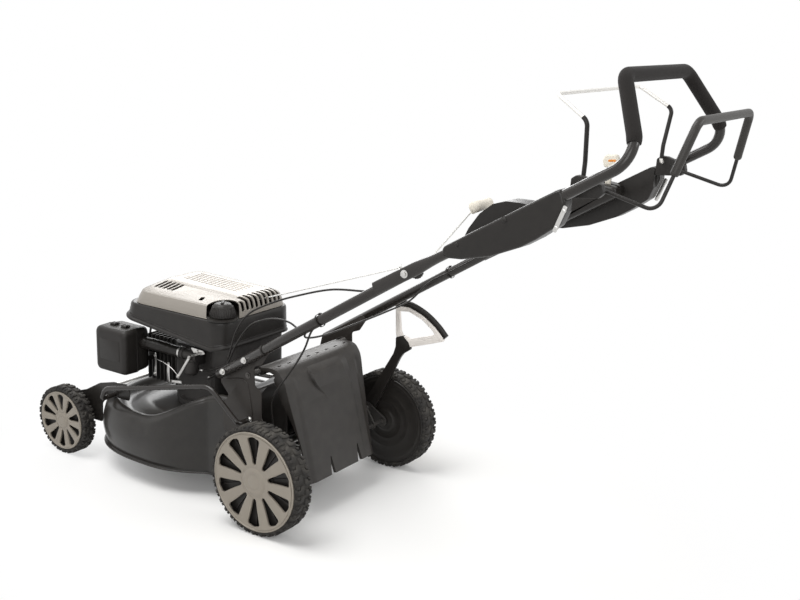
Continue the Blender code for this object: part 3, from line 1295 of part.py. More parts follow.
def make_cables():
    """Control cables from the tubes to the engine and gearbox, as they are clipped."""
    near = LOWER_X - TUBE_RADIUS - GAP - CABLE_RADIUS
    cable("stop_cable", [(-near, -0.312, tube_z(-0.312)), (-near, -0.275, tube_z(-0.275)),
                         (-0.200, -0.235, 0.638), (-0.190, -0.140, 0.624), (-0.175, -0.031, 0.589),
                         (-0.170, 0.056, 0.555), (-0.172, 0.130, 0.515), (-0.174, 0.172, 0.462),
                         (-0.176, 0.194, 0.397), (-0.150, 0.235, 0.352), (-0.118, 0.330, 0.310),
                         (-0.112, 0.362, 0.304)], 24)
    cable("throttle_cable", [(-near, -0.060, tube_z(-0.060) + 0.001), (-0.194, -0.020, 0.523),
                             (-0.184, 0.030, 0.521), (-0.178, 0.079, 0.508), (-0.176, 0.128, 0.482),
                             (-0.182, 0.165, 0.430), (-0.178, 0.194, 0.380), (-0.155, 0.240, 0.338),
                             (-0.110, 0.330, 0.286), (-0.086, 0.352, 0.280)], 20)
    cable("drive_cable", [(-near, -0.130, tube_z(-0.130) - 0.006), (-0.2027, -0.096, 0.520),
                          (-0.2005, -0.072, 0.470), (-0.199, -0.044, 0.425), (-0.197, -0.008, 0.377),
                          (-0.192, 0.026, 0.335), (-0.180, 0.050, 0.300), (-0.165, 0.060, 0.255),
                          (-0.155, 0.062, 0.215), (-0.132, 0.061, 0.193), (-0.095, 0.058, 0.187),
                          (-0.0365, 0.054, 0.187)], 22)
    cable("speed_cable", [(-near, -0.075, tube_z(-0.075) - 0.004), (-0.180, -0.060, 0.490),
                          (-0.100, -0.055, 0.478), (0.030, -0.054, 0.479), (0.130, -0.074, 0.492),
                          (0.185, -0.115, 0.520), (0.2015, -0.160, tube_z(-0.160)),
                          (0.2015, -0.225, tube_z(-0.225)), (0.2015, -0.330, tube_z(-0.330))], 20)
    route = [(0.0595, 0.300, 0.478), (ROPE_LOW_X, ROPE_EYE_Y, 0.7045), (ROPE_LOW_X, JOINT_Y, JOINT_Z)]
    cable("starter_rope_lower", route, 3, ROPE_RADIUS, IVORY)


def make_upper_rope(carrier):
    route = [(ROPE_HIGH_X, JOINT_Y, JOINT_Z), (-0.173, GRIP_Y + 0.0235, GRIP_Z - 0.0185)]
    cable("starter_rope_upper", route, 2, ROPE_RADIUS, IVORY, carrier)


# Assembly

rear_carrier = pivot("axis_rear_height", *REAR_PIVOT)
front_carrier = pivot("axis_front_height", *FRONT_PIVOT)
link_carrier = pivot("axis_link_rod", REAR_PIVOT[0], REAR_PIVOT[1] + LINK_ARM, parent=rear_carrier)
blade_axis = pivot("axis_blade", BLADE_Y, 0.0)
pulley_axis = pivot("axis_gearbox_pulley", GEAR_Y, 0.0)
shaft_axis = pivot("axis_drive_shaft", *REAR_PIVOT)
flap_axis = pivot("axis_flap", PIN_Y, PIN_Z)
fold_axis = pivot("axis_fold", JOINT_Y, JOINT_Z)
brake_axis = pivot("axis_brake_bail", BRAKE_Y, BRAKE_Z, parent=fold_axis)
drive_axis = pivot("axis_drive_bail", DRIVE_Y, DRIVE_Z, parent=fold_axis)
lever_axis = pivot("axis_speed_lever", LEVER_Y, LEVER_Z, parent=fold_axis)
grip_axis = pivot("axis_starter_grip", GRIP_Y, GRIP_Z, -0.170, parent=fold_axis)
cap_axis = pivot("axis_fuel_cap", CAP_Y, SHROUD_TOP, CAP_X)
filter_axis = pivot("axis_filter_cover", 0.0, FILTER_LOW, FILTER_SPLIT)

make_deck()
make_front_plates()
make_chute()
make_brackets()
make_side_bar()
make_flap(flap_axis)

for label, side in (("left", -1), ("right", 1)):
    make_wheel(f"rear_{label}", side, REAR_RADIUS, REAR_TYRE_WIDTH, REAR_BEAD, REAR_SIDES, REAR_FACE,
               0.0, REAR_RADIUS, rear_carrier)
    make_wheel(f"front_{label}", side, FRONT_RADIUS, FRONT_TYRE_WIDTH, FRONT_BEAD, FRONT_SIDES, FRONT_FACE,
               WHEELBASE, FRONT_RADIUS, front_carrier)
    pinion_axis = pivot(f"axis_pinion_{label}", *REAR_PIVOT, parent=rear_carrier)
    solid(f"pinion_{label}", sided(pinion_mesh(), side), STEEL, 0.4, 0.9, parent=pinion_axis)

make_rear_axle(rear_carrier)
make_dust_covers(rear_carrier)
make_height_lever(rear_carrier)
make_front_axle(front_carrier)
make_link_rod(link_carrier)
make_drive_shaft(shaft_axis)

make_crankshaft(blade_axis)
make_blade(blade_axis)
make_belt()
make_gearbox()
make_gearbox_pulley(pulley_axis)

make_engine_block()
make_shroud()
make_engine_cover()
make_fuel_cap(cap_axis)
make_air_filter(filter_axis)
make_carburettor()
make_muffler()

make_lower_handles()
make_upper_handle(fold_axis)
make_foam_grip(fold_axis)
make_wings(fold_axis)
make_bail_mounts(fold_axis)
make_bails(brake_axis, drive_axis)
make_speed_lever(lever_axis)
make_starter_grip(grip_axis)
make_cables()
make_upper_rope(fold_axis)
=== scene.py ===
"""Looks of a self-propelled lawn mower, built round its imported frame.

Everything is in metres. Places along Y are given from the rear axle, as in the part's source,
and piece() moves each finished mesh into the frame. +X is the mower's right, +Y its front.
"""

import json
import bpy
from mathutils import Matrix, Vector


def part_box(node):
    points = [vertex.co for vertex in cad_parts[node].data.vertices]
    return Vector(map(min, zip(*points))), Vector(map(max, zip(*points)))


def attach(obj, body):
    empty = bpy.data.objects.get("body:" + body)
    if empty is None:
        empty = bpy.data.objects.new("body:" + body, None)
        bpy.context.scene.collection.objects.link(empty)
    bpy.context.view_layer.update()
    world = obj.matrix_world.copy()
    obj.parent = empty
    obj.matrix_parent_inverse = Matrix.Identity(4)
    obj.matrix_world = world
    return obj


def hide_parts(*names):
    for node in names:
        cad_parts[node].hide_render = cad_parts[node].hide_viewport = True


bl_info = {
    "name": "Lawn Mower Looks", "version": (1, 0, 0), "blender": (4, 5, 0),
    "location": "3D View > Sidebar > Mower",
    "description": "Fine pieces, finishes and a plain studio for the rear-discharge lawn mower",
    "category": "Object"}

from math import atan2, copysign, cos, degrees, pi, radians, sin, sqrt, tan, tau

import bmesh
import bpy
from bpy.props import FloatProperty, FloatVectorProperty, IntProperty, PointerProperty
from mathutils import Matrix, Vector

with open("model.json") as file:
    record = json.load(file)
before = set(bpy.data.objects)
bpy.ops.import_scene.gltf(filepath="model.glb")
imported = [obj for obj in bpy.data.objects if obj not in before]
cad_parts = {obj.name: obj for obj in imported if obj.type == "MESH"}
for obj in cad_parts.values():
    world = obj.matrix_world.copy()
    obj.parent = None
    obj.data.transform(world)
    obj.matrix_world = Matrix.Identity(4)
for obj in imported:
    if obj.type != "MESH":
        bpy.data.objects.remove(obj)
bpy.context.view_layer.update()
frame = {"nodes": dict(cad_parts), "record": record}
AXLE_Y = sum(corner.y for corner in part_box("rear_left_rim")) / 2
BODY_OF = {node: body for body, nodes in frame["record"]["behaviour"]["bodies"].items() for node in nodes}

# Places in the side view are pairs of Y, from the rear axle, and Z

REAR_AXLE = (0, 0.14)
FRONT_AXLE = (0.7805, 0.099)
REAR_WHEEL = {"radius": 0.14, "width": 0.0535, "bead": 0.1275, "face": 0.307}
FRONT_WHEEL = {"radius": 0.099, "width": 0.041, "bead": 0.0848, "face": 0.247}
REAR_PIVOT = (0.05196, 0.17)
FRONT_PIVOT = (0.83246, 0.129)
FLAP_PIN = (0.105, 0.366)
FOLD = (-0.381, 0.7082)
STOP_PIVOT = (-0.765, 0.947)
DRIVE_PIVOT = (-0.806, 0.934)
LEVER_PIVOT = (-0.648, 0.86906)
LEVER_X = 0.184
TUBE_X = 0.218
TUBE_SLOPE = 0.61898
BRACKET_OUT = 0.2052
DECK_CENTRE = 0.42
DECK_HALF = 0.2545
DECK_BACK = 0.275
CHUTE_HALF = 0.2019
FACE_INSET = 0.0028
WEB_DEPTH = 0.017
BLADE_Y = 0.415

# Places in the plan are X and Y; a plan or a section has its low and high ends in turn

FUEL_CAP = (-0.119, 0.269)
COVER_FOOT = 0.4658
SHROUD_PLAN = (-0.158, 0.126, 0.232, 0.605)
FILTER_SECTION = (0.556, 0.678, 0.264, 0.392)
SIDES = (("right", 1), ("left", -1))
OUT = (1, 0, 0)


# Shapes: most makers below return a bmesh that later makers join, turn or mirror

def section_point(u, v, depth, axis):
    """A point from its two places in a section and its depth along the axis."""
    if axis == "X":
        return Vector((depth, u, v))
    if axis == "Y":
        return Vector((u, depth, v))
    return Vector((u, v, depth))


def mesh_of(name, bm):
    """A mesh that takes over a bmesh."""
    mesh = bpy.data.meshes.new(name)
    bm.to_mesh(mesh)
    bm.free()
    return mesh


def joined(*shapes):
    """One bmesh that holds all the given ones."""
    whole = bmesh.new()
    for shape in shapes:
        carrier = mesh_of("carrier", shape)
        whole.from_mesh(carrier)
        bpy.data.meshes.remove(carrier)
    return whole


def face_outward(bm):
    bmesh.ops.recalc_face_normals(bm, faces=bm.faces[:])


def moved(bm, offset):
    bmesh.ops.translate(bm, verts=bm.verts[:], vec=Vector(offset))
    return bm


def turned(bm, angle, axis, about=(0, 0, 0)):
    bmesh.ops.rotate(bm, verts=bm.verts[:], cent=about, matrix=Matrix.Rotation(radians(angle), 3, axis))
    return bm


def mirrored(bm, side):
    """The shape itself for the right-hand side, its mirror image for the left."""
    if side < 0:
        bmesh.ops.scale(bm, verts=bm.verts[:], vec=(-1, 1, 1))
        bmesh.ops.reverse_faces(bm, faces=bm.faces[:])
    return bm


def bevelled(bm, edges, width, segments):
    bmesh.ops.bevel(bm, geom=edges, offset=width, offset_type="OFFSET", segments=segments, profile=0.5,
                    affect="EDGES", clamp_overlap=True, material=-1)


def round_edges(bm, width, segments=2, angle=30):
    """Bevels every edge whose faces meet at more than the given angle."""
    limit = radians(angle)
    bevelled(bm, [e for e in bm.edges if len(e.link_faces) == 2 and e.calc_face_angle(0) > limit], width,
             segments)


def drawn_out(bm):
    """Extrudes every face of a flat shape and gives back the new corners, still in place."""
    grown = bmesh.ops.extrude_face_region(bm, geom=bm.faces[:])
    return [part for part in grown["geom"] if isinstance(part, bmesh.types.BMVert)]


def slab(outline, low, high, axis="X", holes=(), rounding=0, segments=2):
    """An outline, with any holes, drawn along an axis and softened at its edges."""
    bm = bmesh.new()
    for loop in (outline, *holes):
        corners = [bm.verts.new(section_point(u, v, low, axis)) for u, v in loop]
        for first, second in zip(corners, corners[1:] + corners[:1]):
            bm.edges.new((first, second))
    if holes:
        bmesh.ops.triangle_fill(bm, use_beauty=True, edges=bm.edges[:])
    else:
        bm.faces.new(bm.verts[:])
    bmesh.ops.translate(bm, verts=drawn_out(bm), vec=section_point(0, 0, high - low, axis))
    face_outward(bm)
    if rounding:
        round_edges(bm, rounding, segments)
    return bm


def block(low, high, rounding=0.001, segments=2):
    """A rectangular body with rounded edges."""
    bm = bmesh.new()
    bmesh.ops.create_cube(bm, size=1)
    bmesh.ops.scale(bm, verts=bm.verts[:], vec=Vector(high) - Vector(low))
    bmesh.ops.translate(bm, verts=bm.verts[:], vec=(Vector(low) + Vector(high)) / 2)
    if rounding:
        round_edges(bm, rounding, segments)
    return bm


def spindle(profile, sides, axis="X", centre=(0, 0, 0), closed=False):
    """A profile of (place along the axis, radius) turned round the axis."""
    bm = bmesh.new()
    line = [bm.verts.new((depth, 0, -radius)) for depth, radius in profile]
    edges = [bm.edges.new(pair) for pair in zip(line, line[1:])]
    if closed:
        edges.append(bm.edges.new((line[-1], line[0])))
    bmesh.ops.spin(
        bm, geom=line + edges, axis=(1, 0, 0), cent=(0, 0, 0), angle=tau, steps=sides, use_merge=True)
    bmesh.ops.remove_doubles(bm, verts=bm.verts[:], dist=1e-6)
    if axis == "Z":
        turned(bm, -90, "Y")
    if axis == "Y":
        turned(bm, 90, "Z")
    face_outward(bm)
    return moved(bm, centre)


def aim(bm, start, end):
    """Sets a shape that stands on the origin along +Z at start, pointing at end."""
    run = Vector(end) - Vector(start)
    turn = run.to_track_quat("Z", "Y").to_matrix().to_4x4()
    bmesh.ops.transform(bm, matrix=Matrix.Translation(Vector(start)) @ turn, verts=bm.verts[:])
    return bm


def rod(start, end, radius, sides=24, rounding=0):
    """A round bar between two points."""
    length = (Vector(end) - Vector(start)).length
    bm = bmesh.new()
    bmesh.ops.create_cone(bm, cap_ends=True, segments=sides, radius1=radius, radius2=radius, depth=length)
    moved(bm, (0, 0, length / 2))
    if rounding:
        round_edges(bm, rounding, 2, 60)
    return aim(bm, start, end)


def bolt(place, toward, radius=0.0055, height=0.004, kind="hex"):
    """A bolt head with its washer, seated at place and facing along toward."""
    washer = rod((0, 0, 0), (0, 0, height * 0.25), radius * 1.35, 24, height * 0.08)
    if kind == "hex":
        head = bmesh.new()
        bmesh.ops.create_cone(head, cap_ends=True, segments=6, radius1=radius, radius2=radius, depth=height)
        moved(head, (0, 0, height * 0.75))
        round_edges(head, height * 0.16, 2, 40)
    else:
        arc = [(height * 0.25 + height * 0.85 * sin(a), radius * cos(a))
               for a in (radians(15 * i) for i in range(7))]
        head = spindle([(height * 0.2, 0), (height * 0.2, radius), *arc[:-1], (height * 1.1, 0)], 24, "X")
        turned(head, -90, "Y")
    whole = joined(washer, head)
    return aim(whole, place, Vector(place) + Vector(toward))


def drawn_rows(rows, around):
    """A sheet drawn out from the first row of points to each of the next; around closes each row."""
    bm = bmesh.new()
    row = [bm.verts.new(point) for point in rows[0]]
    edges = [bm.edges.new(pair) for pair in zip(row, row[1:] + row[:around])]
    for target in rows[1:]:
        grown = bmesh.ops.extrude_edge_only(bm, edges=edges)
        edges = [part for part in grown["geom"] if isinstance(part, bmesh.types.BMEdge)]
        fresh = {part for part in grown["geom"] if isinstance(part, bmesh.types.BMVert)}
        row = [next(e.other_vert(v) for e in v.link_edges if e.other_vert(v) in fresh) for v in row]
        for vert, point in zip(row, target):
            vert.co = point
    return bm


def grown_rings(rings, closed=False, capped=True):
    """A skin over a row of rings, either capped at both ends, open, or closed to a loop."""
    bm = drawn_rows(rings + rings[:closed], True)
    if closed:
        bmesh.ops.remove_doubles(bm, verts=bm.verts[:], dist=1e-7)
    elif capped:
        bmesh.ops.holes_fill(bm, edges=[e for e in bm.edges if e.is_boundary], sides=0)
    face_outward(bm)
    return bm


def circle(count, shift=0):
    """Cosine and sine of evenly spaced angles."""
    angles = [tau * (i + shift) / count for i in range(count)]
    return [(cos(angle), sin(angle)) for angle in angles]


def path_frames(points):
    """Each point's direction and two cross axes, carried along the path without twist."""
    along = [(points[min(i + 1, len(points) - 1)] - points[max(i - 1, 0)]).normalized()
             for i in range(len(points))]
    side = along[0].orthogonal().normalized()
    if abs(along[0].x) < 0.9:
        side = (Vector((1, 0, 0)) - along[0] * along[0].x).normalized()
    found = []
    for i, direction in enumerate(along):
        if i:
            side = along[i - 1].rotation_difference(direction) @ side
            side = (side - direction * side.dot(direction)).normalized()
        found.append((direction, side, direction.cross(side)))
    return found


def tube(points, sizes, sides=16, closed=False):
    """A tube along a path; a size is a radius, or a pair of half width and half height."""
    points = [Vector(p) for p in points]
    if isinstance(sizes, (float, int)):
        sizes = [sizes] * len(points)
    rings = []
    for point, size, (_, side, up) in zip(points, sizes, path_frames(points)):
        wide, high = size if isinstance(size, tuple) else (size, size)
        rings.append([point + side * wide * c + up * high * s for c, s in circle(sides, 0.5)])
    return grown_rings(rings, closed=closed)


def hollow_tube(points, radius, wall, sides=24):
    """An open-ended sleeve along a path."""
    points = [Vector(p) for p in points]
    outer = []
    inner = []
    for point, (_, side, up) in zip(points, path_frames(points)):
        around = [side * c + up * s for c, s in circle(sides)]
        outer.append([point + way * radius for way in around])
        inner.append([point + way * (radius - wall) for way in around])
    return grown_rings(outer + inner[::-1], closed=True)


def bent(points, radii, steps=8):
    """A path whose inner corners are rounded to the given radii."""
    points = [Vector(p) for p in points]
    path = [points[0]]
    for before, corner, after, radius in zip(points, points[1:], points[2:], radii):
        inward = (before - corner).normalized()
        outward = (after - corner).normalized()
        half = inward.angle(outward) / 2
        back = radius / tan(half)
        centre = corner + (inward + outward).normalized() * radius / sin(half)
        first = (corner + inward * back - centre).normalized()
        last = (corner + outward * back - centre).normalized()
        path += [centre + first.slerp(last, i / steps) * radius for i in range(steps + 1)]
    path.append(points[-1])
    return path


def both_sides(points):
    """A right-hand path and its mirror image, from right to left."""
    return points + [Vector((-p.x, p.y, p.z)) for p in reversed(points)]


def curved_route(points, count):
    """Points on one smooth curve through the given ones."""
    points = [Vector(p) for p in points]
    ends = [2 * points[0] - points[1]] + points + [2 * points[-1] - points[-2]]
    spans = len(points) - 1
    found = []
    for i in range(count):
        at = spans * i / (count - 1)
        k = min(int(at), spans - 1)
        t = at - k
        p0, p1, p2, p3 = ends[k:k + 4]
        found.append(0.5 * (2 * p1 + (
            p2 - p0) * t + (2 * p0 - 5 * p1 + 4 * p2 - p3) * t * t + (3 * p1 - p0 - 3 * p2 + p3) * t * t * t))
    return found


def coil(start, end, radius, thickness, turns, sides, steps):
    """A coil spring between two points."""
    start = Vector(start)
    run = Vector(end) - start
    _, side, up = path_frames([start, start + run])[0]
    count = turns * steps
    points = [start + run * (i / count) + (side * cos(tau * i / steps) + up * sin(tau * i / steps)) * radius
              for i in range(count + 1)]
    return tube(points, thickness, sides)


def box_outline(x0, x1, y0, y1, radius, steps, inset=0):
    """A box with round corners, drawn in evenly by the inset."""
    x0, x1, y0, y1 = x0 + inset, x1 - inset, y0 + inset, y1 - inset
    corners = ((x1 - radius, y1 - radius, 0), (x0 + radius, y1 - radius, 90), (x0 + radius, y0 + radius, 180),
               (x1 - radius, y0 + radius, 270))
    found = []
    for x, y, start in corners:
        for i in range(steps + 1):
            angle = radians(start + 90 * i / steps)
            found.append((x + radius * cos(angle), y + radius * sin(angle)))
    return found


def round_outline(u, v, radius, sides):
    return [(u + radius * c, v + radius * s) for c, s in circle(sides)]


def bar_outline(first, second, radius, steps=8):
    """The outline of a flat bar with round ends."""
    a = Vector(first)
    b = Vector(second)
    base = atan2(b.y - a.y, b.x - a.x)
    found = []
    for centre, start in ((b, base - pi / 2), (a, base + pi / 2)):
        for i in range(steps + 1):
            angle = start + pi * i / steps
            found.append((centre.x + radius * cos(angle), centre.y + radius * sin(angle)))
    return found


def softened(outline, radius, steps=4):
    """An outline whose corners are rounded where there is room."""
    points = [Vector((u, v, 0)) for u, v in outline]
    found = []
    count = len(points)
    for i, corner in enumerate(points):
        before = points[i - 1] - corner
        after = points[(i + 1) % count] - corner
        half = before.angle(after) / 2
        if half > radians(86):
            found.append((corner.x, corner.y))
            continue
        back = min(radius / tan(half), before.length * 0.45, after.length * 0.45)
        first = corner + before.normalized() * back
        last = corner + after.normalized() * back
        for k in range(steps + 1):
            t = k / steps
            point = first * (1 - t) ** 2 + corner * 2 * t * (1 - t) + last * t * t
            found.append((point.x, point.y))
    return found


def smooth_step(low, high, value):
    t = min(max((value - low) / (high - low), 0), 1)
    return t * t * (3 - 2 * t)


def tube_z(y):
    """Height of the lower tubes' centre line."""
    return 0.369 + TUBE_SLOPE * (0.167 - y)


def upper_z(y):
    """Height of the upper tube's centre line up to its bend."""
    return FOLD[1] + 0.58 * (FOLD[0] - y)


# Making objects

def shown(name, data):
    """A new object in the scene."""
    item = bpy.data.objects.new(name, data)
    bpy.context.scene.collection.objects.link(item)
    return item


def piece(name, bm, finish, replaces=(), body="machine", smooth=40, settled=False, slot=None):
    """Makes an object of a bmesh, gives it its finish and hangs it on its body."""
    if not settled:
        moved(bm, (0, AXLE_Y, 0))
    if slot is None:
        slot = SLOTS[finish]
    mesh = mesh_of(name, bm)
    mesh.shade_smooth()
    mesh.set_sharp_from_angle(angle=radians(smooth))
    item = shown(name, mesh)
    mesh.materials.append(FINISHES[finish])
    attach(item, body)
    if replaces:
        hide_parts(*replaces)
    return item


def twins(name, bm, finish, replaced="", **settings):
    """A right-hand piece and its left-hand twin, in place of the twin nodes of the given name."""
    for label, side in SIDES:
        nodes = (f"{replaced}_{label}",) if replaced else ()
        piece(f"{name}_{label}", mirrored(bm.copy(), side), finish, nodes, **settings)
    bm.free()


def softened_node(node, finish, width=0.0008, segments=2, extra=None):
    """A copy of a CAD node with its triangles merged and its edges rounded."""
    bm = bmesh.new()
    bm.from_mesh(frame["nodes"][node].data)
    bmesh.ops.remove_doubles(bm, verts=bm.verts[:], dist=1e-6)
    bmesh.ops.dissolve_limit(bm, angle_limit=radians(1), verts=bm.verts[:], edges=bm.edges[:])
    if extra:
        moved(extra, (0, AXLE_Y, 0))
        bm = joined(bm, extra)
    item = piece(f"fine_{node}", bm, finish, (node,), BODY_OF[node], settled=True)
    edge = item.modifiers.new("Rounded edges", "BEVEL")
    edge.width = width
    edge.segments = segments
    edge.limit_method = "ANGLE"
    edge.angle_limit = radians(32)
    return item


def carved(item, bm):
    """Cuts a shape out of a finished piece and keeps the result as its mesh."""
    moved(bm, (0, AXLE_Y, 0))
    face_outward(bm)
    mesh = mesh_of("cutter", bm)
    cutter = shown("cutter", mesh)
    step = item.modifiers.new("Cut", "BOOLEAN")
    step.operation = "DIFFERENCE"
    step.solver = "EXACT"
    step.object = cutter
    graph = bpy.context.evaluated_depsgraph_get()
    result = bpy.data.meshes.new_from_object(item.evaluated_get(graph), depsgraph=graph)
    item.modifiers.clear()
    old = item.data
    item.data = result
    bpy.data.meshes.remove(old)
    bpy.data.objects.remove(cutter, do_unlink=True)
    bpy.data.meshes.remove(mesh)
    result.shade_smooth()
    result.set_sharp_from_angle(angle=radians(35))


def refinish(node, finish):
    """Gives a CAD node that stays in view its finish."""
    for place in frame["nodes"][node].material_slots:
        place.link = "OBJECT"
        place.material = FINISHES[finish]


# Finishes

FINISHES = {}
SLOTS = {}


def shader_group(name, inputs, outputs):
    """An empty shader node group with named sockets, and its two end nodes."""
    group = bpy.data.node_groups.new(name, "ShaderNodeTree")
    for label, kind, value in inputs:
        socket = group.interface.new_socket(label, in_out="INPUT", socket_type=f"NodeSocket{kind}")
        socket.default_value = value
    for label, kind in outputs:
        group.interface.new_socket(label, in_out="OUTPUT", socket_type=f"NodeSocket{kind}")
    entry = group.nodes.new("NodeGroupInput")
    entry.location = (-900, 0)
    leave = group.nodes.new("NodeGroupOutput")
    leave.location = (700, 0)
    return group, entry, leave


def node(tree, kind, x, y, **settings):
    """A node with its place and its own values; a number in settings names an input by order."""
    made = tree.nodes.new(f"ShaderNode{kind}")
    made.location = (x, y)
    for key, value in settings.items():
        if key.startswith("in_"):
            made.inputs[int(key[3:])].default_value = value
        else:
            setattr(made, key, value)
    return made


def wire(tree, *joints):
    """Links nodes; a joint is a node, its output, the next node and its input."""
    for source, output, target, entrance in joints:
        tree.links.new(source.outputs[output], target.inputs[entrance])


def object_noise(group, entry, x, y, detail=3, stretch=None):
    """Noise on object coordinates at the size that the group is given."""
    source = node(group, "TexCoord", x - 400, y)
    output = "Object"
    if stretch:
        mapping = node(group, "Mapping", x - 200, y)
        mapping.inputs["Scale"].default_value = stretch
        wire(group, (source, output, mapping, "Vector"))
        source = mapping
        output = "Vector"
    noise = node(group, "TexNoise", x, y)
    noise.inputs["Detail"].default_value = detail
    noise.inputs["Roughness"].default_value = 0.55
    wire(group, (source, output, noise, "Vector"), (entry, "Size", noise, "Scale"))
    return noise


def noise_swing(group, entry, amount, detail=3):
    """Noise round nought, as strong as the named group input says."""
    noise = object_noise(group, entry, -500, -200, detail)
    centred = node(group, "Math", -250, -200, operation="SUBTRACT", in_1=0.5)
    swing = node(group, "Math", -50, -200, operation="MULTIPLY")
    wire(group, (noise, "Fac", centred, 0), (centred, 0, swing, 0), (entry, amount, swing, 1))
    return swing


def tone_drift_group():
    """Slow lighter and darker areas in one colour."""
    inputs = [("Colour", "Color", (0.5, 0.5, 0.5, 1)), ("Amount", "Float", 0.1), ("Size", "Float", 20)]
    group, entry, leave = shader_group("Tone drift", inputs, [("Colour", "Color")])
    swing = noise_swing(group, entry, "Amount")
    value = node(group, "Math", 150, -200, operation="MULTIPLY_ADD", in_1=2, in_2=1)
    tint = node(group, "HueSaturation", 400, 0)
    wire(group, (swing, 0, value, 0), (value, 0, tint, "Value"), (entry, "Colour", tint, "Color"),
         (tint, "Color", leave, "Colour"))


def gloss_drift_group():
    """Handling marks: small differences in roughness."""
    inputs = [("Roughness", "Float", 0.4), ("Spread", "Float", 0.08), ("Size", "Float", 60)]
    group, entry, leave = shader_group("Gloss drift", inputs, [("Roughness", "Float")])
    swing = noise_swing(group, entry, "Spread", 5)
    total = node(group, "Math", 200, 0, operation="ADD", use_clamp=True)
    wire(group, (entry, "Roughness", total, 0), (swing, 0, total, 1), (total, 0, leave, "Roughness"))


def moulded_grain_group():
    """Fine pebble of moulded plastic and powder paint."""
    inputs = [("Size", "Float", 900), ("Cells", "Float", 0.4)]
    group, entry, leave = shader_group("Moulded grain", inputs, [("Height", "Float")])
    noise = object_noise(group, entry, -500, 100, 2)
    coords = node(group, "TexCoord", -900, -250)
    cells = node(group, "TexVoronoi", -500, -250, feature="SMOOTH_F1")
    mix = node(group, "Mix", 200, 0)
    wire(group, (coords, "Object", cells, "Vector"), (entry, "Size", cells, "Scale"),
         (entry, "Cells", mix, "Factor"), (noise, "Fac", mix, "A"), (cells, "Distance", mix, "B"),
         (mix, "Result", leave, "Height"))


def drawn_lines_group(name, stretch):
    """Fine lines that rolling or drawing leaves along one axis of a metal part."""
    group, entry, leave = shader_group(name, [("Size", "Float", 400)], [("Height", "Float")])
    wire(group, (object_noise(group, entry, -200, 0, 4, stretch), "Fac", leave, "Height"))


def dust_group():
    """A thin film of dust in patches, thickest on faces that look up."""
    inputs = [("Colour", "Color", (0.1, 0.1, 0.1, 1)), ("Dust", "Color", (0.36, 0.33, 0.28, 1)),
              ("Amount", "Float", 0.1), ("Size", "Float", 35)]
    group, entry, leave = shader_group("Settled dust", inputs, [("Colour", "Color"), ("Mask", "Float")])
    noise = object_noise(group, entry, -500, -250, 6)
    surface = node(group, "NewGeometry", -900, 250)
    apart = node(group, "SeparateXYZ", -700, 250)
    upward = node(group, "MapRange", -500, 250, in_1=-0.2, in_2=1, in_3=0.25, in_4=1)
    patchy = node(group, "MapRange", -250, -250, in_1=0.38, in_2=0.68, in_3=0, in_4=1)
    both = node(group, "Math", 0, 100, operation="MULTIPLY")
    mask = node(group, "Math", 200, 100, operation="MULTIPLY", use_clamp=True)
    mix = node(group, "Mix", 450, 0, data_type="RGBA")
    wire(group, (surface, "Normal", apart, 0), (apart, "Z", upward, "Value"), (noise, "Fac", patchy, "Value"),
         (upward, "Result", both, 0), (patchy, "Result", both, 1), (both, 0, mask, 0),
         (entry, "Amount", mask, 1), (mask, 0, mix, "Factor"), (entry, "Colour", mix, 6),
         (entry, "Dust", mix, 7), (mix, 2, leave, "Colour"), (mask, 0, leave, "Mask"))


def placed_group(tree, name, x, y, **values):
    """A group node in a material, with its own input values."""
    made = node(tree, "Group", x, y, node_tree=bpy.data.node_groups[name])
    for key, value in values.items():
        made.inputs[key].default_value = value
    return made


def add_finish(name, slot, colour, roughness, grain_size, grain_depth, metallic=0, drift=0.08, patch=18,
               spread=0.08, lines="", dust=0, coat=0, coat_roughness=0.1, specular=0.3, sheen=0):
    """One finish and its usual slot: coloured, dusted and grained by the groups, shaded by its own node."""
    paint = bpy.data.materials.new(name)
    paint.use_nodes = True
    tree = paint.node_tree
    shader = tree.nodes["Principled BSDF"]
    shader.location = (300, 0)
    tree.nodes["Material Output"].location = (620, 0)
    for socket, value in (("Metallic", metallic), ("Specular IOR Level", specular), ("Coat Weight", coat),
                          ("Coat Roughness", coat_roughness), ("Sheen Weight", sheen)):
        shader.inputs[socket].default_value = value
    source = placed_group(tree, "Tone drift", -500, 200, Colour=(*colour, 1), Amount=drift, Size=patch)
    if dust:
        film = placed_group(tree, "Settled dust", -200, 200, Amount=dust)
        wire(tree, (source, "Colour", film, "Colour"))
        source = film
    gloss = placed_group(tree, "Gloss drift", -200, -50, Roughness=roughness, Spread=spread, Size=70)
    grain = f"Lines along {lines}" if lines else "Moulded grain"
    relief = placed_group(tree, grain, -500, -300, Size=grain_size)
    bump = node(tree, "Bump", 0, -300, in_0=1, in_1=grain_depth)
    wire(tree, (source, "Colour", shader, "Base Color"), (gloss, "Roughness", shader, "Roughness"),
         (relief, "Height", bump, "Height"), (bump, "Normal", shader, "Normal"))
    FINISHES[name] = paint
    SLOTS[name] = slot


def colour_value(name, description, default):
    return FloatVectorProperty(
        name=name, description=description, subtype="COLOR", size=3, min=0, max=1, default=default)


def length_value(name, description, low, high, default):
    return FloatProperty(
        name=name, description=description, unit="LENGTH", min=low, max=high, default=default)


def count_value(name, description, low, high, default):
    return IntProperty(name=name, description=description, min=low, max=high, default=default)


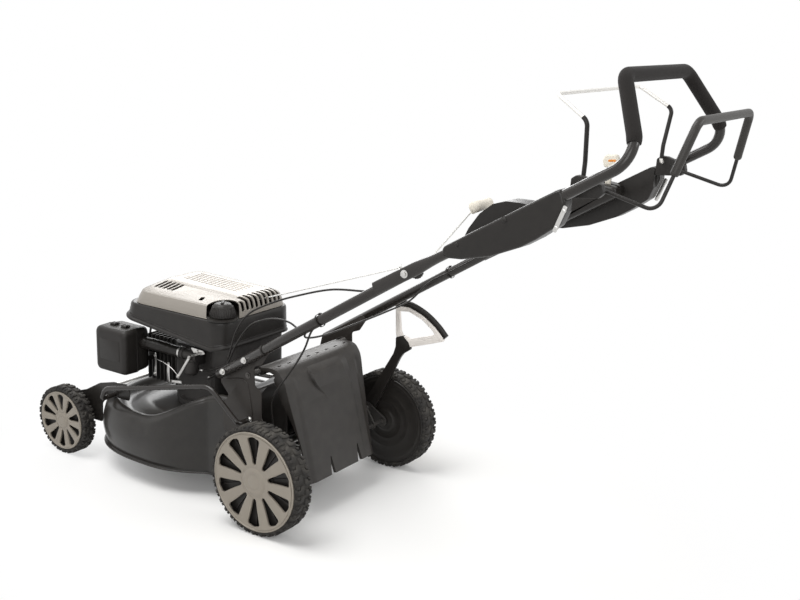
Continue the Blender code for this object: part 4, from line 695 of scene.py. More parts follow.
class MowerColours(bpy.types.PropertyGroup):
    """Colours of the machine's finishes."""
    deck: colour_value("Deck enamel", "Glossy paint of the pressed deck", (0.017, 0.015, 0.0132))
    bracket: colour_value("Bracket enamel", "Satin paint of the handle brackets", (0.026, 0.022, 0.019))
    tube: colour_value("Tube lacquer", "Lacquer of the handle tubes", (0.019, 0.016, 0.014))
    plastic: colour_value("Black plastic", "Moulded housings and covers", (0.017, 0.015, 0.0135))
    flap: colour_value("Flap plastic", "Warm grey plastic of the rear flap", (0.022, 0.019, 0.0165))
    cover: colour_value("Engine cover", "Champagne lacquer of the engine's top cover", (0.3, 0.275, 0.243))
    hub: colour_value("Hub caps", "Taupe lacquer of the spoked hub caps", (0.27, 0.24, 0.2))
    ivory: colour_value("Ivory plastic", "Levers and the starter grip", (0.8, 0.75, 0.65))
    rubber: colour_value("Tread rubber", "Rubber of the four tyres", (0.018, 0.0165, 0.0155))
    foam: colour_value("Grip foam", "Foam sleeve of the upper bar", (0.0135, 0.0115, 0.0105))
    steel: colour_value("Plated steel", "Bolts, rods and bright brackets", (0.62, 0.61, 0.59))
    marker: colour_value("Knob marker", "Orange mark on the speed knob", (0.75, 0.27, 0.05))


class MOWER_OT_finishes(bpy.types.Operator):
    """Builds the shared node groups and every finish"""
    bl_idname = "mower.finishes"
    bl_label = "Finishes"

    def execute(self, context):
        colours = context.scene.mower_colours
        tone_drift_group()
        gloss_drift_group()
        moulded_grain_group()
        dust_group()
        drawn_lines_group("Lines along X", (0.02, 1, 1))
        drawn_lines_group("Lines along Y", (1, 0.02, 1))
        add_finish("deck enamel", "deck_paint", colours.deck, 0.36, 260, 0.00003, drift=0.1, patch=7,
                   spread=0.06, dust=0.03, coat=0.18, coat_roughness=0.12)
        add_finish(
            "bracket enamel", "bracket_paint", colours.bracket, 0.42, 700, 0.00005, spread=0.1, dust=0.03)
        add_finish("tube lacquer", "tube_paint", colours.tube, 0.28, 900, 0.00002, lines="Y", coat=0.3,
                   coat_roughness=0.15)
        add_finish(
            "black plastic", "black_plastic", colours.plastic, 0.46, 1300, 0.00008, spread=0.1, dust=0.02)
        add_finish(
            "satin plastic", "black_plastic", colours.plastic, 0.33, 1600, 0.00004, drift=0.1, dust=0.02)
        add_finish("flap plastic", "flap_plastic", colours.flap, 0.44, 1100, 0.0001, drift=0.09, patch=9,
                   spread=0.1, dust=0.04, specular=0.42)
        add_finish("champagne lacquer", "champagne_plastic", colours.cover, 0.4, 2200, 0.00002, metallic=0.5,
                   drift=0.05, patch=9, spread=0.06, coat=0.25, coat_roughness=0.18)
        add_finish("taupe lacquer", "taupe_plastic", colours.hub, 0.38, 2000, 0.00003, metallic=0.35,
                   drift=0.07, patch=26, dust=0.05, coat=0.2, coat_roughness=0.2)
        add_finish("ivory plastic", "ivory_plastic", colours.ivory, 0.42, 1500, 0.00004, drift=0.03)
        add_finish("tread rubber", "tread_rubber", colours.rubber, 0.74, 1400, 0.00022, drift=0.22, patch=60,
                   spread=0.14, dust=0.16)
        add_finish("cable sheath", "soft_rubber", colours.plastic, 0.36, 1500, 0.00004, drift=0.06)
        add_finish("grey sleeve", "black_plastic", (0.038, 0.035, 0.032), 0.44, 1400, 0.00006, drift=0.06)
        add_finish("belt rubber", "soft_rubber", colours.rubber, 0.68, 2400, 0.00012, drift=0.15, spread=0.1)
        add_finish("grip foam", "soft_rubber", colours.foam, 0.92, 1700, 0.00035, drift=0.14, patch=140,
                   spread=0.05, sheen=0.05)
        add_finish("plated steel", "bare_steel", colours.steel, 0.3, 1200, 0.00003, metallic=1, drift=0.1,
                   patch=120, spread=0.12, lines="X")
        add_finish("bright wire", "bare_steel", (0.9, 0.88, 0.84), 0.38, 1200, 0.00002, metallic=0.6,
                   drift=0.06, patch=90, spread=0.1, lines="X")
        add_finish("drawn steel", "bare_steel", colours.steel, 0.34, 1200, 0.00003, metallic=1, drift=0.12,
                   patch=60, spread=0.14, lines="Y")
        add_finish("cast alloy", "cast_alloy", (0.36, 0.34, 0.32), 0.5, 650, 0.0003, metallic=0.85,
                   drift=0.16, patch=50, spread=0.16, dust=0.1)
        add_finish("dark casting", "cast_alloy", (0.05, 0.047, 0.045), 0.55, 650, 0.0003, metallic=0.4,
                   drift=0.18, patch=50, spread=0.14, dust=0.05)
        add_finish("muffler steel", "bare_steel", (0.3, 0.285, 0.27), 0.46, 500, 0.00012, metallic=0.9,
                   drift=0.24, patch=34, spread=0.18)
        add_finish("dark steel", "bare_steel", (0.095, 0.09, 0.085), 0.42, 900, 0.00003, metallic=0.8,
                   drift=0.12, patch=60, spread=0.12, lines="X", dust=0.05)
        add_finish("pale lever plastic", "ivory_plastic", (0.9, 0.85, 0.8), 0.45, 1500, 0.00004, drift=0.03)
        add_finish("rope fibre", "rope_fibre", (0.9, 0.89, 0.86), 0.8, 3000, 0.0002, drift=0.12, patch=400,
                   sheen=0.2)
        add_finish(
            "knob marker", "ivory_plastic", colours.marker, 0.4, 1500, 0.00003, drift=0.06, spread=0.06)
        return {"FINISHED"}


# Stage

class MowerStage(bpy.types.PropertyGroup):
    """The studio round the machine."""
    floor: colour_value("Floor", "Colour of the pale floor", (0.9, 0.895, 0.88))
    dome: FloatProperty(
        name="Dome level", description="Soft light from all round", min=0, max=2, default=0.36)
    key: FloatProperty(
        name="Key light", description="Power of the large lamp overhead", unit="POWER", min=0, default=88)
    lens: FloatProperty(
        name="Lens", description="Focal length of the camera in millimetres", min=20, max=200, default=50)


def lamp(name, place, aim_at, power, width, height):
    """A soft rectangular lamp turned towards a point."""
    data = bpy.data.lights.new(name, "AREA")
    data.shape = "RECTANGLE"
    data.size = width
    data.size_y = height
    data.energy = power
    item = shown(name, data)
    item.location = place
    run = Vector(aim_at) - Vector(place)
    item.rotation_mode = "QUATERNION"
    item.rotation_quaternion = run.to_track_quat("-Z", "Y")


def seen_directly(tree, x, y):
    """One for camera, glossy and transmission rays, nought for light on the object."""
    path = node(tree, "LightPath", x, y)
    first = node(tree, "Math", x + 200, y, operation="MAXIMUM")
    second = node(tree, "Math", x + 400, y, operation="MAXIMUM")
    wire(tree, (path, "Is Camera Ray", first, 0), (path, "Is Glossy Ray", first, 1), (first, 0, second, 0),
         (path, "Is Transmission Ray", second, 1))
    return second


def make_world(level):
    world = bpy.data.worlds.new("Studio")
    world.use_nodes = True
    tree = world.node_tree
    backdrop = tree.nodes["Background"]
    backdrop.inputs["Color"].default_value = (1, 1, 1, 1)
    strength = node(tree, "Mix", -200, -100, in_0=0)
    strength.inputs["A"].default_value = level
    strength.inputs["B"].default_value = 1
    wire(tree, (seen_directly(tree, -900, -100), 0, strength, "Factor"),
         (strength, "Result", backdrop, "Strength"))
    bpy.context.scene.world = world


def floor_finish(colour):
    """Pale matt floor that holds the shadow near the machine and runs out to white."""
    paint = bpy.data.materials.new("studio floor")
    paint.use_nodes = True
    tree = paint.node_tree
    shader = tree.nodes["Principled BSDF"]
    shader.inputs["Base Color"].default_value = (*colour, 1)
    shader.inputs["Roughness"].default_value = 0.85
    shader.inputs["Specular IOR Level"].default_value = 0.1
    coords = node(tree, "TexCoord", -900, 300)
    shape = node(tree, "Mapping", -700, 300)
    shape.inputs["Scale"].default_value = (1.25, 0.95, 1)
    reach = node(tree, "VectorMath", -500, 300, operation="LENGTH")
    ramp = node(tree, "MapRange", -300, 300, interpolation_type="SMOOTHSTEP", in_1=0.42, in_2=1.1, in_3=0.09)
    white = node(tree, "Emission", 0, 300, in_0=(1, 1, 1, 1), in_1=1)
    both = node(tree, "Math", 0, 500, operation="MULTIPLY")
    mix = node(tree, "MixShader", 400, 200)
    wire(tree, (coords, "Object", shape, "Vector"), (shape, "Vector", reach, 0),
         (reach, "Value", ramp, "Value"), (ramp, "Result", both, 0),
         (seen_directly(tree, -900, 600), 0, both, 1), (both, 0, mix, 0), (shader, 0, mix, 1),
         (white, 0, mix, 2), (mix, 0, tree.nodes["Material Output"], "Surface"))
    return paint


def make_camera(lens):
    """The photograph's viewpoint: from the machine's left rear, a little above its handle."""
    heading = radians(56.168)
    pitch = radians(-14.351)
    roll = radians(1.751)
    forward = Vector((sin(heading) * cos(pitch), cos(heading) * cos(pitch), sin(pitch)))
    level = Vector((cos(heading), -sin(heading), 0))
    over = level.cross(forward)
    right = level * cos(roll) + over * sin(roll)
    up = over * cos(roll) - level * sin(roll)
    data = bpy.data.cameras.new("Camera")
    data.lens = lens
    data.sensor_width = 36
    data.clip_end = 60
    item = shown("Camera", data)
    turn = Matrix((right, up, -forward)).transposed().to_4x4()
    item.matrix_world = Matrix.Translation((-2.1923, -1.6773 + AXLE_Y, 1.2486)) @ turn
    bpy.context.scene.camera = item


class MOWER_OT_stage(bpy.types.Operator):
    """Sets the floor, the lamps, the white surround and the camera"""
    bl_idname = "mower.stage"
    bl_label = "Stage"

    def execute(self, context):
        settings = context.scene.mower_stage
        context.scene.view_settings.view_transform = "Standard"
        make_world(settings.dome)
        bm = bmesh.new()
        bmesh.ops.create_grid(bm, x_segments=2, y_segments=2, size=20)
        mesh = mesh_of("studio_floor", bm)
        floor = shown("studio_floor", mesh)
        mesh.materials.append(floor_finish(settings.floor))
        lamp("Key lamp", (-0.9, 0.9, 3.2), (0, 0, 0.3), settings.key, 2.2, 2.2)
        lamp("Side lamp", (-2.6, -1.2, 1.6), (0, 0, 0.4), settings.key * 0.2, 1.4, 1.4)
        lamp("Rear lamp", (0.6, -2.8, 2), (0, -0.2, 0.5), settings.key * 0.3, 1.6, 1.2)
        lamp("Far lamp", (2.7, 2.4, 1.9), (0, 0.1, 0.45), settings.key * 0.55, 2.6, 1.4)
        make_camera(settings.lens)
        return {"FINISHED"}


# Wheels

class MowerWheels(bpy.types.PropertyGroup):
    """Sizes of the wheels' fine shapes."""
    rear_lugs: count_value("Rear lugs", "Tread lugs in each row of a rear tyre", 12, 60, 34)
    front_lugs: count_value("Front lugs", "Tread lugs in each row of a front tyre", 12, 60, 26)
    lug_height: length_value("Lug height", "Height of the lugs over the carcass", 0.001, 0.006, 0.0034)
    spokes: count_value("Spokes", "Flared spokes of a hub cap", 5, 16, 10)
    dish: length_value("Dish", "How far a hub cap sinks towards its centre", 0, 0.012, 0.006)


def repeated(bm, count, axis=(1, 0, 0), centre=(0, 0, 0)):
    """Copies of a shape set evenly round an axis."""
    bmesh.ops.spin(bm, geom=bm.verts[:] + bm.edges[:] + bm.faces[:], axis=axis, cent=centre,
                   angle=tau * (count - 1) / count, steps=count - 1, use_duplicate=True)
    return bm


def tread_lug(outline, middle, base, top):
    """One lug: its outline is (place across the tread, place along it)."""
    bm = bmesh.new()
    corners = []
    for across, along in outline:
        angle = along / top
        corners.append(bm.verts.new((middle + across, base * sin(angle), base * cos(angle))))
    bm.faces.new(corners)
    lifted = drawn_out(bm)
    centre = sum((v.co for v in lifted), Vector()) / len(lifted)
    for vert in lifted:
        vert.co = centre + (vert.co - centre) * 0.93
        outward = Vector((0, vert.co.y, vert.co.z)).normalized()
        vert.co = Vector((vert.co.x, 0, 0)) + outward * top
    face_outward(bm)
    bevelled(bm, [e for e in bm.edges if all(v in lifted for v in e.verts)], 0.0006, 1)
    return bm


def tyre(radius, width, bead, plane, lugs, height):
    """A rounded carcass with two staggered rows of chunky lugs that reach over its shoulders."""
    band = radius - height
    outer = plane + width
    middle = plane + width / 2
    profile = [
        (plane + 0.0012, bead), (plane + 0.0002, bead + 0.0015), (plane, bead + 0.0035),
        (plane + 0.0004, band - 0.006), (plane + 0.0022, band - 0.0022), (plane + 0.006, band - 0.0004),
        (middle, band + 0.0002), (outer - 0.006, band - 0.0004), (outer - 0.0022, band - 0.0022),
        (outer - 0.0004, band - 0.006), (outer, bead + 0.0045), (outer - 0.0008, bead + 0.004),
        (outer - 0.0008, bead + 0.003), (outer, bead + 0.0025), (outer - 0.0006, bead)]
    carcass = spindle(profile, 96, closed=True)
    scale = width / 0.0535
    pitch = tau * radius / lugs
    stretch = pitch / 0.0259
    shape = [(0.0016, -0.006), (0.011, -0.0098), (0.024, -0.0088), (0.0262, -0.008), (0.0262, 0.001),
             (0.016, -0.0002), (0.0128, 0.0078), (0.0058, 0.0112), (0.0016, 0.009)]
    shapes = [carcass]
    for side, shift in ((1, 0), (-1, pitch / 2)):
        outline = [(side * across * scale, along * stretch * 0.96) for across, along in shape]
        lug = repeated(tread_lug(outline[::side], middle, band - 0.0012, radius), lugs)
        short = [(side * across * scale, along * stretch)
                 for across, along in ((0.0178, 0.003), (0.0255, 0.0036), (0.0255, 0.0106), (0.015, 0.0098))]
        key = repeated(tread_lug(short[::side], middle, band - 0.0012, radius - 0.0006), lugs)
        wall = width / 2
        ear = block((wall - 0.004, -0.0055 * stretch, radius - 0.0135 * scale),
                    (wall + 0.0002, 0.0055 * stretch, radius - 0.0028), 0.0012, 1)
        turned(ear, 0.0035 * stretch / radius * 57.3, "X")
        ears = repeated(mirrored(ear, side), lugs)
        row = joined(lug, key, moved(ears, (middle, 0, 0)))
        shapes.append(turned(row, degrees(shift / radius), "X"))
    return joined(*shapes)


def hub_cap(face, bead, spokes, dish):
    """A dished cap: bright outer lip, flared spokes between rounded windows, round boss."""
    reach = bead - 0.0004
    inner = reach * 0.345
    outer = reach * 0.92
    pitch = tau / spokes

    def sunk(radius):
        return face - dish * (1 - (radius / reach) ** 1.5)

    ring = spindle(
        [(face - 0.0046, reach), (face - 0.001, reach), (face - 0.0001, reach - 0.0009),
         (face, reach - 0.0022), (face - 0.0004, reach - 0.0036), (face - 0.0016, reach - 0.0046),
         (sunk(outer) - 0.0004, outer + 0.0012), (sunk(outer) - 0.0014, outer - 0.0004),
         (sunk(outer) - 0.004, outer - 0.0004)], 120, closed=True)
    hub = spindle([
        (sunk(0) - 0.0045, 0), (sunk(inner) - 0.0045, inner + 0.0008), (sunk(inner) - 0.0014, inner + 0.0008),
        (sunk(inner) - 0.0003, inner - 0.0006), (sunk(inner * 0.8), inner * 0.8),
        (sunk(inner * 0.8) + 0.0012, inner * 0.76), (face - 0.003, inner * 0.7),
        (face - 0.0022, inner * 0.64), (face - 0.0018, inner * 0.5), (face - 0.0026, inner * 0.46),
        (face - 0.0026, inner * 0.42), (face - 0.0018, inner * 0.38), (face - 0.0015, 0)], 72)
    rows = []
    steps = 16
    start = inner * 0.93
    end = outer + 0.0035
    for i in range(steps + 1):
        radius = start + (end - start) * (0.5 - 0.5 * cos(pi * i / steps))
        share = min(max((radius - inner) / (outer - inner), 0), 1)
        window = 0.16 + 0.125 * share
        from_hub = min(max((radius - inner) / (reach * 0.05), 0), 1)
        from_rim = min(max((outer - radius) / (reach * 0.06), 0), 1)
        window *= sqrt(1 - (1 - from_hub) ** 2) * sqrt(1 - (1 - from_rim) ** 2)
        half = pitch * (0.5 - window)
        row = []
        for across, drop in ((-1, 0.0022), (-0.95, 0.0006), (-0.86, 0), (-0.45, -0.0004), (0, -0.0006),
                             (0.45, -0.0004), (0.86, 0), (0.95, 0.0006), (1, 0.0022)):
            angle = half * across
            row.append(Vector((sunk(radius) - drop, radius * sin(angle), radius * cos(angle))))
        rows.append(row)
    spoke = drawn_rows(rows, False)
    bmesh.ops.translate(spoke, verts=drawn_out(spoke), vec=(-0.0026, 0, 0))
    face_outward(spoke)
    turned(spoke, 180 / spokes, "X")
    return joined(ring, hub, repeated(spoke, spokes))


def wheel_rim(face, plane, bead, ribs=8):
    """Barrel, web and hub with a flare at each edge and ribs on the inner side of the web."""
    web = face - WEB_DEPTH
    seat = bead - 0.0008
    edge = face - 0.0058
    profile = [
        (plane + 0.006, 0.0066), (plane + 0.005, 0.0078), (plane + 0.005, 0.016), (plane + 0.007, 0.017),
        (web - 0.0045, 0.0185), (web - 0.004, 0.024), (web - 0.004, seat - 0.009),
        (web - 0.006, seat - 0.0052), (plane + 0.007, seat - 0.0045), (plane + 0.006, seat - 0.0035),
        (plane + 0.006, seat), (edge, seat), (edge, seat - 0.004), (web + 0.001, seat - 0.005),
        (web, seat - 0.008), (web, 0.0066)]
    body = spindle(profile, 80, closed=True)
    rib = block((plane + 0.009, -0.0012, 0.015), (web - 0.003, 0.0012, seat - 0.0044), 0.0004, 1)
    return joined(body, repeated(rib, ribs))


def web_ribs(face, bead, ribs=10):
    """Low ribs on the outer side of a rear wheel's web, seen through the cap's windows."""
    web = face - WEB_DEPTH
    rib = block((web - 0.0005, -0.0011, 0.021), (web + 0.0042, 0.0011, bead - 0.006), 0.0006, 1)
    hoop = spindle([(web - 0.0005, 0.05), (web + 0.0034, 0.0506), (web + 0.0034, 0.0526),
                    (web - 0.0005, 0.0532)], 64, closed=True)
    return joined(repeated(rib, ribs), hoop)


def dust_disc(low):
    """The disc on the inner side of a rear wheel, with its pressed rings and axle nut."""
    profile = [
        (-0.004, 0.0066), (-0.0048, 0.01), (-0.0048, 0.015), (-0.004, 0.016), (-0.004, 0.027),
        (-0.0032, 0.029), (-0.0005, 0.0335), (0, 0.036), (0, 0.052), (-0.0007, 0.0532), (-0.0007, 0.0552),
        (0, 0.0566), (0, 0.076), (-0.0006, 0.0772), (-0.0006, 0.0786), (0, 0.0798), (0, 0.1085),
        (-0.0008, 0.11), (-0.0008, 0.1145), (0.0002, 0.1165), (0, 0.124), (-0.001, 0.1252), (0.0004, 0.1266),
        (0.0025, 0.1262), (0.0025, 0.0066)]
    return spindle(profile, 96, centre=(low, 0, 0), closed=True)


WHEEL_LOOKS = {
    "treaded_tyre": ("tread rubber", "tyre", 50), "spoked_cap": ("taupe lacquer", "hub_cap", 32),
    "ribbed_rim": ("black plastic", "rim", 40), "web_ribs": ("black plastic", "", 40)}


class MOWER_OT_wheels(bpy.types.Operator):
    """Makes the four tyres, rims and hub caps and the discs of the rear wheels"""
    bl_idname = "mower.wheels"
    bl_label = "Wheels"

    def execute(self, context):
        sizes = context.scene.mower_wheels
        plans = (("rear", REAR_WHEEL, REAR_AXLE, sizes.rear_lugs),
                 ("front", FRONT_WHEEL, FRONT_AXLE, sizes.front_lugs))
        for end, wheel, axle, lugs in plans:
            radius, width, bead, face = wheel.values()
            plane = face - FACE_INSET - width
            for label, side in reversed(SIDES):
                shapes = {"treaded_tyre": tyre(radius, width, bead, plane, lugs, sizes.lug_height),
                          "spoked_cap": hub_cap(face, bead, sizes.spokes, sizes.dish)}
                if end == "front":
                    shapes["ribbed_rim"] = wheel_rim(face, plane, bead)
                else:
                    refinish(f"rear_{label}_rim", "black plastic")
                    shapes["web_ribs"] = web_ribs(face, bead)
                for name, bm in shapes.items():
                    finish, replaced, smooth = WHEEL_LOOKS[name]
                    nodes = (f"{end}_{label}_{replaced}",) if replaced else ()
                    hung = moved(mirrored(bm, side), (0, *axle))
                    piece(f"{end}_{label}_{name}", hung, finish, nodes, f"{end}_{label}_wheel", smooth=smooth)
        low = REAR_WHEEL["face"] - FACE_INSET - REAR_WHEEL["width"] + 0.0005
        disc = joined(dust_disc(low), bolt((low - 0.004, 0, 0), (-1, 0, 0), 0.008, 0.004))
        twins("ringed_dust_cover", moved(disc, (0, *REAR_AXLE)), "satin plastic", "dust_cover",
              body="rear_axle_frame")
        return {"FINISHED"}


# Deck, brackets and side bar

class MowerDeck(bpy.types.PropertyGroup):
    """Sizes of the deck's fine shape."""
    columns: count_value("Columns", "Points round the deck's plan", 48, 320, 168)
    wall: length_value("Sheet", "Thickness of the pressed sheet", 0.001, 0.005, 0.003)
    rolled_edge: length_value("Rolled edge", "Radius of the roll along the lower rim", 0.001, 0.005, 0.0026)
    bar_radius: length_value(
        "Side bar", "Radius of the bar on the deck's left shoulder", 0.003, 0.008, 0.0066)


def deck_plan(columns):
    """The deck's outline: a rounded front, sides that run straight towards the rear."""
    points = []
    for i in range(columns):
        angle = tau * (i + 0.5) / columns
        c = cos(angle)
        s = sin(angle)
        power = 2.7 if s > 0 else 2
        reach = 0.285 if s > 0 else DECK_BACK
        x = DECK_HALF * copysign(abs(c) ** (2 / power), c)
        y = reach * copysign(abs(s) ** (2 / power), s)
        if s < 0 and abs(x) < CHUTE_HALF and abs(c) > 0.42:
            x = copysign(CHUTE_HALF, c)
        elif s < 0 and abs(x) < CHUTE_HALF:
            x = CHUTE_HALF * c / 0.42
            y = -DECK_BACK
        points.append((x, y))
    return points


def deck_height(x, y, front, rear, right):
    """The deck climbs towards the chute, except along its right-hand edge."""
    climb = smooth_step(0.46, 0.2, y)
    edge = smooth_step(0.185, 0.12, x)
    level = front + (rear - front) * climb
    low = front + (right - front) * smooth_step(0.05, 0.16, x)
    return low + (level - low) * edge


def deck_level(plan, scale, heights, drop=0, bulge=0):
    ring = []
    for px, py in plan:
        swell = 1 + bulge / DECK_HALF * smooth_step(0.24, 0.38, DECK_CENTRE + py * scale)
        x = px * scale * swell
        y = DECK_CENTRE + py * scale * swell
        ring.append(Vector((x, y, deck_height(x, y, *heights) - drop)))
    return ring


def disc_level(columns, radius, z):
    return [Vector((radius * c, BLADE_Y + radius * s, z)) for c, s in circle(columns, 0.5)]


def between_rings(rings, steps):
    """More rings, on smooth curves through the given ones."""
    columns = [curved_route(column, (len(rings) - 1) * steps + 1) for column in zip(*rings)]
    return [list(ring) for ring in zip(*columns)]


def deck_sheet(columns):
    """The outer face of the pressed deck, open at the crankshaft, the chute and below."""
    plan = deck_plan(columns)
    lip = (0.19, 0.286, 0.168)
    trough = (0.165, 0.274, 0.165)
    top = (0.18, 0.266, 0.18)
    rims = (0.062, 0.062, 0.062)
    belly = (0.125, 0.165, 0.125)
    crown = [disc_level(columns, 0.03, 0.18), disc_level(columns, 0.108, 0.18)]
    crown += [
        deck_level(plan, *row) for row in ((0.62, top), (0.8, trough), (0.875, lip, 0.004), (0.905, lip))]
    shoulder = [deck_level(plan, *row) for row in (
        (0.905, lip), (0.935, lip, 0.0008), (0.965, lip, 0.0052), (0.985, lip, 0.012, 0.002),
        (1, lip, 0.026, 0.004), (1, belly, 0, 0.011), (1, rims, -0.024, 0.0065), (1, rims, -0.008, 0.0025),
        (1, rims, -0.0035, 0.0035), (1, rims, -0.001, 0.007))]
    bm = grown_rings(between_rings(crown, 4)[:-1] + between_rings(shoulder, 4), capped=False)
    rear = DECK_CENTRE - DECK_BACK
    for point, normal in (((0.13, 0, 0), (1, 0, 0)), ((-0.13, 0, 0), (1, 0, 0)), ((0, 0, 0.15), (0, 0, 1)),
                          ((0, 0, 0.262), (0, 0, 1)), ((0, rear + 0.015, 0), (0, 1, 0))):
        near = [f for f in bm.faces if f.calc_center_median().y < rear + 0.06]
        geom = near + list({e for f in near for e in f.edges}) + list({v for f in near for v in f.verts})
        bmesh.ops.bisect_plane(bm, geom=geom, plane_co=point, plane_no=normal)
    gone = []
    for face in bm.faces:
        centre = face.calc_center_median()
        if centre.y < rear + 0.015 and abs(centre.x) < 0.13 and 0.15 < centre.z < 0.262:
            gone.append(face)
    bmesh.ops.delete(bm, geom=gone, context="FACES")
    face_outward(bm)
    if sum(f.normal.z * f.calc_area() for f in bm.faces) < 0:
        bmesh.ops.reverse_faces(bm, faces=bm.faces[:])
    return bm


def bracket_plate():
    """The right-hand plate that carries the handle, the flap and the drive shaft."""
    outline = [
        (0.198, 0.33), (0.19, 0.362), (0.052, 0.447), (0.036, 0.438), (0.06, 0.402), (0.086, 0.392),
        (0.084, 0.342), (0.062, 0.33), (0.062, 0.262), (0.034, 0.212), (0.03, 0.158), (0.06, 0.146),
        (0.1, 0.15), (0.188, 0.205), (0.192, 0.27), (0.17, 0.3)]
    plate = slab(softened(outline, 0.01), BRACKET_OUT - 0.003, BRACKET_OUT, rounding=0.0006)
    bead = [(0.176, 0.342), (0.12, 0.352), (0.104, 0.33), (0.092, 0.262), (0.1, 0.214), (0.15, 0.232)]
    route = [(BRACKET_OUT - 0.0004, y, z) for y, z in bead]
    return joined(plate, tube(curved_route(route, 28), 0.0026, 8))


def front_plate():
    """A plate at the deck's front corner, with a folded edge along its top."""
    outline = [
        (0.672, 0.104), (0.8025, 0.101), (0.8465, 0.111), (0.8505, 0.135), (0.8225, 0.159), (0.735, 0.188),
        (0.678, 0.219), (0.62, 0.2335), (0.57, 0.236), (0.556, 0.215), (0.56, 0.1906), (0.64, 0.1906),
        (0.661, 0.1705), (0.67, 0.16)]
    plate = slab(softened(outline, 0.008), 0.185, 0.188, rounding=0.0006)
    fold = tube(curved_route(
        [(0.1865, 0.572, 0.2345), (0.1865, 0.62, 0.232), (0.1865, 0.678, 0.2175), (0.1865, 0.735, 0.187),
         (0.1865, 0.8225, 0.158)], 20), (0.003, 0.0018), 12)
    return joined(plate, fold, bolt((0.188, *FRONT_PIVOT), OUT, 0.0085, 0.0006, "round"))


class MOWER_OT_deck(bpy.types.Operator):
    """Makes the pressed deck, its rolled rim, the brackets, the front plates and the side bar"""
    bl_idname = "mower.deck"
    bl_label = "Deck"

    def execute(self, context):
        sizes = context.scene.mower_deck
        shell = piece("pressed_deck", deck_sheet(sizes.columns), "deck enamel", ("deck",), smooth=60)
        wall = shell.modifiers.new("Sheet thickness", "SOLIDIFY")
        wall.thickness = sizes.wall
        wall.offset = -1
        wall.use_even_offset = False
        rim = deck_level(deck_plan(96), 1, (0.062, 0.062, 0.062), -0.0016, 0.0075)
        roll = tube(rim, sizes.rolled_edge, 10, closed=True)
        piece("deck_rolled_rim", roll, "deck enamel")
        screws = [bolt((BRACKET_OUT, y, z), OUT, *rest) for y, z, *rest in (
            (0.148, 0.237, 0.0052, 0.004, "round"), (0.099, 0.251, 0.0052, 0.004, "round"),
            (0.06, 0.176, 0.005, 0.0036))]
        twins("pressed_bracket", bracket_plate(), "bracket enamel", "handle_bracket", smooth=35)
        twins("bracket_bolts", joined(*screws), "plated steel")
        twins("front_plate_folded", front_plate(), "deck enamel", "front_plate", smooth=35)
        stops = [spindle([(x, 0.004), (x, 0.008), (x + 0.0012, 0.008), (x + 0.0012, 0.004)], 20,
                         centre=(0, *FLAP_PIN), closed=True) for x in (0.2056, -0.2068)]
        pin = joined(rod((-0.2092, *FLAP_PIN), (0.2092, *FLAP_PIN), 0.004, 20, 0.0006), *stops)
        piece("flap_hinge_pin", pin, "dark steel")
        corners = [(-0.2055, 0.108, 0.246), (-0.24, 0.108, 0.246), (-0.24, 0.204, 0.324),
                   (-0.24, 0.594, 0.234), (-0.24, 0.612, 0.2), (-0.1885, 0.612, 0.2)]
        route = bent(corners, (0.012, 0.045, 0.03, 0.012), 8)
        bar = joined(tube(route, sizes.bar_radius, 20),
                     rod((-0.2058, 0.108, 0.246), (-0.2075, 0.108, 0.246), 0.01, 24, 0.0005),
                     rod((-0.1884, 0.612, 0.2), (-0.1905, 0.612, 0.2), 0.01, 24, 0.0005))
        piece("deck_side_bar", bar, "tube lacquer", ("side_bar",))
        return {"FINISHED"}


# Rear flap and chute

class MowerFlap(bpy.types.PropertyGroup):
    """Sizes of the rear flap's fine shapes."""
    wall: length_value("Wall", "Thickness of the flap's skin", 0.002, 0.005, 0.003)
    slits: count_value("Slits", "Small slits along the rounded top", 0, 24, 8)
    spring_turns: count_value("Spring turns", "Turns of each return spring", 2, 12, 6)


def flap_rows():
    """Place, half width, skirt depth and panel height at each level, from the hinge down."""
    rows = [
        (0.101, 0.377, 0.163, 0.01, 0), (0.068, 0.381, 0.163, 0.012, 0), (0.046, 0.3775, 0.163, 0.02, 0),
        (0.034, 0.3665, 0.163, 0.028, 0), (0.0245, 0.352, 0.1615, 0.03, 0.001),
        (0.0185, 0.332, 0.16, 0.03, 0.004), (0.012, 0.304, 0.157, 0.026, 0.006),
        (-0.01, 0.218, 0.148, 0.006, 0.006), (-0.03, 0.138, 0.14, 0.0048, 0.006),
        (-0.043, 0.087, 0.135, 0.0048, 0.006)]
    count = 97
    places = curved_route([(0, y, z) for y, z, *_ in rows], count)
    sizes = curved_route([row[2:] for row in rows], count)
    return places, sizes


